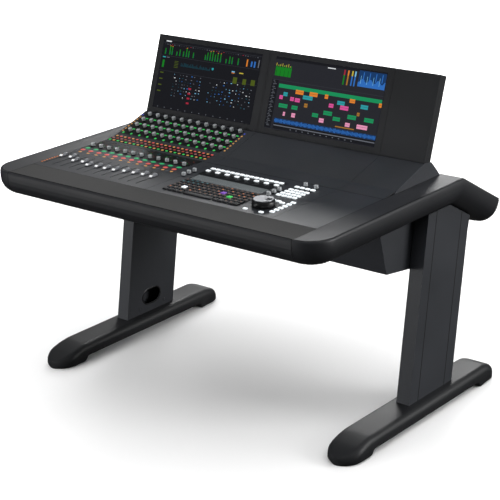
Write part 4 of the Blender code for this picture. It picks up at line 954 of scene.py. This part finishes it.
# a thin gasket between the bolster and each arm, as the bolster's own outline
bolster = nodes["front_bolster"].data
gasketLoop = {"width": 0.0020, "proud": 0.0003}
bolsterEnd = max(vertex.co.x for vertex in bolster.vertices)
outline = [vertex.co.yz for vertex in bolster.vertices if vertex.co.x > bolsterEnd - 1e-5]
outline = [outline[i] for i in geometry.convex_hull_2d(outline)]
middle = sum(outline, Vector((0, 0))) / len(outline)
outline = [point + (point - middle).normalized() * gasketLoop["proud"] for point in outline]
shape = bmesh.new()
rings = [[shape.verts.new((bolsterEnd + x, point.x, point.y)) for point in outline]
         for x in (-gasketLoop["width"] / 2, gasketLoop["width"] / 2)]
for i in range(len(outline)):
    j = (i + 1) % len(outline)
    shape.faces.new((rings[0][i], rings[0][j], rings[1][j], rings[1][i]))
for ring in rings:
    shape.faces.new(ring)
bolsterGasket = painted(asMesh(shape), "gasket")
joinPiece("bolster_end_gaskets", [
    (bolsterGasket, noTurn), (bolsterGasket, move(-2 * bolsterEnd, 0))])

# the dark gaps at the front and rear of each column's cover
coverGap = {"lean": math.atan(0.1738), "inset": 0.0052, "cover": 0.150, "width": 0.0034,
            "lengths": (0.5750, 0.5380), "depth": 0.0006, "proud": 0.0002}
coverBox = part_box("right_column_cover")
parts = []
for side in (-1, 1):
    for y, length in zip((coverGap["inset"], coverGap["cover"] - coverGap["inset"]), coverGap["lengths"]):
        strip = painted(block(coverGap["width"], coverGap["depth"], length, 0), "gasket")
        foot = Vector((side * (coverBox[1].x + coverGap["proud"] - coverGap["depth"] / 2),
                       coverBox[0].y + y, coverBox[0].z))
        # local Z runs up the leaning column, local Y points outwards
        turn = Matrix.Rotation(-coverGap["lean"], 4, "X") @ Matrix.Rotation(math.pi / 2, 4, "Z")
        parts.append((strip, Matrix.Translation(foot) @ turn))
joinPiece("column_cover_gaps", parts)

# grommets and screws at the cable holes
hole = {"length": 0.085, "height": 0.050, "rim": 0.004, "proud": 0.0012, "rise": 0.053, "steps": 12}
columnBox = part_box("right_column")
holeZ = columnBox[0].z + hole["rise"]
holeY = front + 0.4736 + 0.114 + 0.174 * hole["rise"]
parts = []


def stadium(length, height, steps):
    radius, reach = height / 2, (length - height) / 2
    points = []
    for centre, start in ((reach, -math.pi / 2), (-reach, math.pi / 2)):
        for step in range(steps + 1):
            angle = start + math.pi * step / steps
            points.append((centre + radius * math.cos(angle), radius * math.sin(angle)))
    return points


def grommet():
    shape = bmesh.new()
    inner = stadium(hole["length"] - 0.001, hole["height"] - 0.001, hole["steps"])
    outer = stadium(hole["length"] + hole["rim"] * 2, hole["height"] + hole["rim"] * 2, hole["steps"])
    middle = stadium(hole["length"] + hole["rim"], hole["height"] + hole["rim"], hole["steps"])
    rings = []
    levels = ((inner, -0.0025), (inner, hole["proud"] * 0.7), (middle, hole["proud"]), (outer, 0.0001))
    for outline, height in levels:
        rings.append([shape.verts.new((y, z, height)) for y, z in outline])
    for first, second in zip(rings, rings[1:]):
        for i in range(len(first)):
            j = (i + 1) % len(first)
            shape.faces.new((first[i], first[j], second[j], second[i]))
    return asMesh(shape)


screwHead = lathe([(0, 0.0010), (0.0010, 0.0010), (0.0012, 0.0022), (0.0030, 0.0020), (0.0038, 0.0012),
                   (0.0038, 0.0), (0, 0.0)], 20)
for side in (-1, 1):
    face = side * columnBox[0].x
    # local Z points out of the column's inner face, towards the middle of the console
    turn = Matrix(((0, 0, -side, face), (1, 0, 0, holeY), (0, 1, 0, holeZ), (0, 0, 0, 1)))
    parts.append((painted(grommet(), "blackPlastic"), turn))
    screws = [(-0.0613, -0.0327, 0), (0.0613, -0.0327, 0)]
    parts.append((onPoints(screws, screwHead, "screw"), turn))
joinPiece("cable_hole_trims", parts)

print("trims made")

# camera, floor and studio light
camera = {"place": (2.9505, -3.4625, 2.0666), "yaw": math.radians(40.312),
          "pitch": math.radians(-19.785), "roll": math.radians(-2.027), "lens": 112.5}
lensData = bpy.data.cameras.new("studioCamera")
lensData.lens = camera["lens"]
lensData.sensor_width = 36
cameraObject = bpy.data.objects.new("studioCamera", lensData)
bpy.context.scene.collection.objects.link(cameraObject)
yaw, pitch, roll = camera["yaw"], camera["pitch"], camera["roll"]
ahead = Vector((-math.sin(yaw) * math.cos(pitch), math.cos(yaw) * math.cos(pitch), math.sin(pitch)))
level = Vector((math.cos(yaw), math.sin(yaw), 0))
above = level.cross(ahead)
sideways = level * math.cos(roll) + above * math.sin(roll)
upwards = above * math.cos(roll) - level * math.sin(roll)
axes = Matrix((sideways, upwards, -ahead)).transposed().to_4x4()
cameraObject.matrix_world = Matrix.Translation(camera["place"]) @ axes
bpy.context.scene.camera = cameraObject

studio = {"floor": "f6f6f6", "floorSize": 120.0, "fade": (1.8, 4.0), "overhead": 0.18, "side": 0.05}
floorShape = bmesh.new()
bmesh.ops.create_grid(floorShape, x_segments=8, y_segments=8, size=studio["floorSize"] / 2)
floorMesh = bpy.data.meshes.new("studioFloor")
floorShape.to_mesh(floorMesh)
floorShape.free()
floorMaterial, floorTree, floorShader = newMaterial("paleStudioFloor", Roughness=0.85)
floorShader.inputs["Base Color"].default_value = colour(studio["floor"])
# past the shadow's reach the floor turns to the same plain white as the backdrop
place = addNode(floorTree, "ShaderNodeTexCoord")
away = addNode(floorTree, "ShaderNodeVectorMath", {0: place.outputs["Object"]}, operation="LENGTH")
floorTree.links.new(spread(floorTree, away.outputs["Value"], 0.0, 1.0, *studio["fade"]),
                    floorShader.inputs["Emission Strength"])
floorShader.inputs["Emission Color"].default_value = (1, 1, 1, 1)
floorMesh.materials.append(floorMaterial)
floorObject = bpy.data.objects.new("studioFloor", floorMesh)
floorObject.location = (0, 0, -0.0005)
floorObject.visible_glossy = False  # the undersides then stay as dark as over a studio's black cloth
floorObject.visible_diffuse = False
bpy.context.scene.collection.objects.link(floorObject)

# a tent of light: bright overhead, dim at the sides, and plain white where it is seen directly
world = bpy.data.worlds.new("studioWorld")
world.use_nodes = True
sky = world.node_tree
tent = sky.nodes["Background"]
direction = addNode(sky, "ShaderNodeTexCoord")
height = addNode(sky, "ShaderNodeSeparateXYZ", {"Vector": direction.outputs["Generated"]})
rise = addNode(sky, "ShaderNodeMapRange", {
    "Value": height.outputs["Z"], "From Min": 0.05, "From Max": 0.95,
    "To Min": studio["side"], "To Max": studio["overhead"]}, interpolation_type="SMOOTHSTEP")
sky.links.new(rise.outputs["Result"], tent.inputs["Strength"])
plain = addNode(sky, "ShaderNodeBackground", {"Color": (1, 1, 1, 1), "Strength": 1.0})
seen = addNode(sky, "ShaderNodeLightPath")
both = addNode(sky, "ShaderNodeMixShader", {
    0: seen.outputs["Is Camera Ray"], 1: tent.outputs["Background"], 2: plain.outputs["Background"]})
sky.links.new(both.outputs["Shader"], sky.nodes["World Output"].inputs["Surface"])
tent.inputs["Color"].default_value = (1, 1, 1, 1)
bpy.context.scene.world = world
bpy.context.scene.view_settings.view_transform = "Standard"

# name, place, what it points at, width, depth, power, whether shiny surfaces show it
softboxes = (
    ("ceilingScrim", (0.0, 1.5, 6.0), (0, 1.5, 0), 13.0, 13.0, 1050, False),
    ("backSoftbox", (-3.9, 6.5, 3.9), (0.3, 0, 0.7), 3.2, 2.2, 225, True),
    ("frontSoftbox", (-1.2, -5.8, 1.4), (0, 0, 0.5), 2.2, 1.6, 90, False),
    ("rightSoftbox", (4.6, 2.2, 1.8), (0.4, 0, 0.5), 2.2, 2.2, 150, True),
    ("lowSoftbox", (-2.6, -3.9, 0.48), (0.57, 0.1, 0.4), 1.8, 0.8, 44, True),
)
for name, spot, target, width, depth, power, inShine in softboxes:
    data = bpy.data.lights.new(name, "AREA")
    data.shape = "RECTANGLE"
    data.size = width
    data.size_y = depth
    data.energy = power
    lamp = bpy.data.objects.new(name, data)
    lamp.location = spot
    lamp.rotation_euler = (Vector(target) - Vector(spot)).to_track_quat("-Z", "Y").to_euler()
    lamp.visible_camera = False
    lamp.visible_glossy = inShine
    bpy.context.scene.collection.objects.link(lamp)
print("camera, floor and lights set")
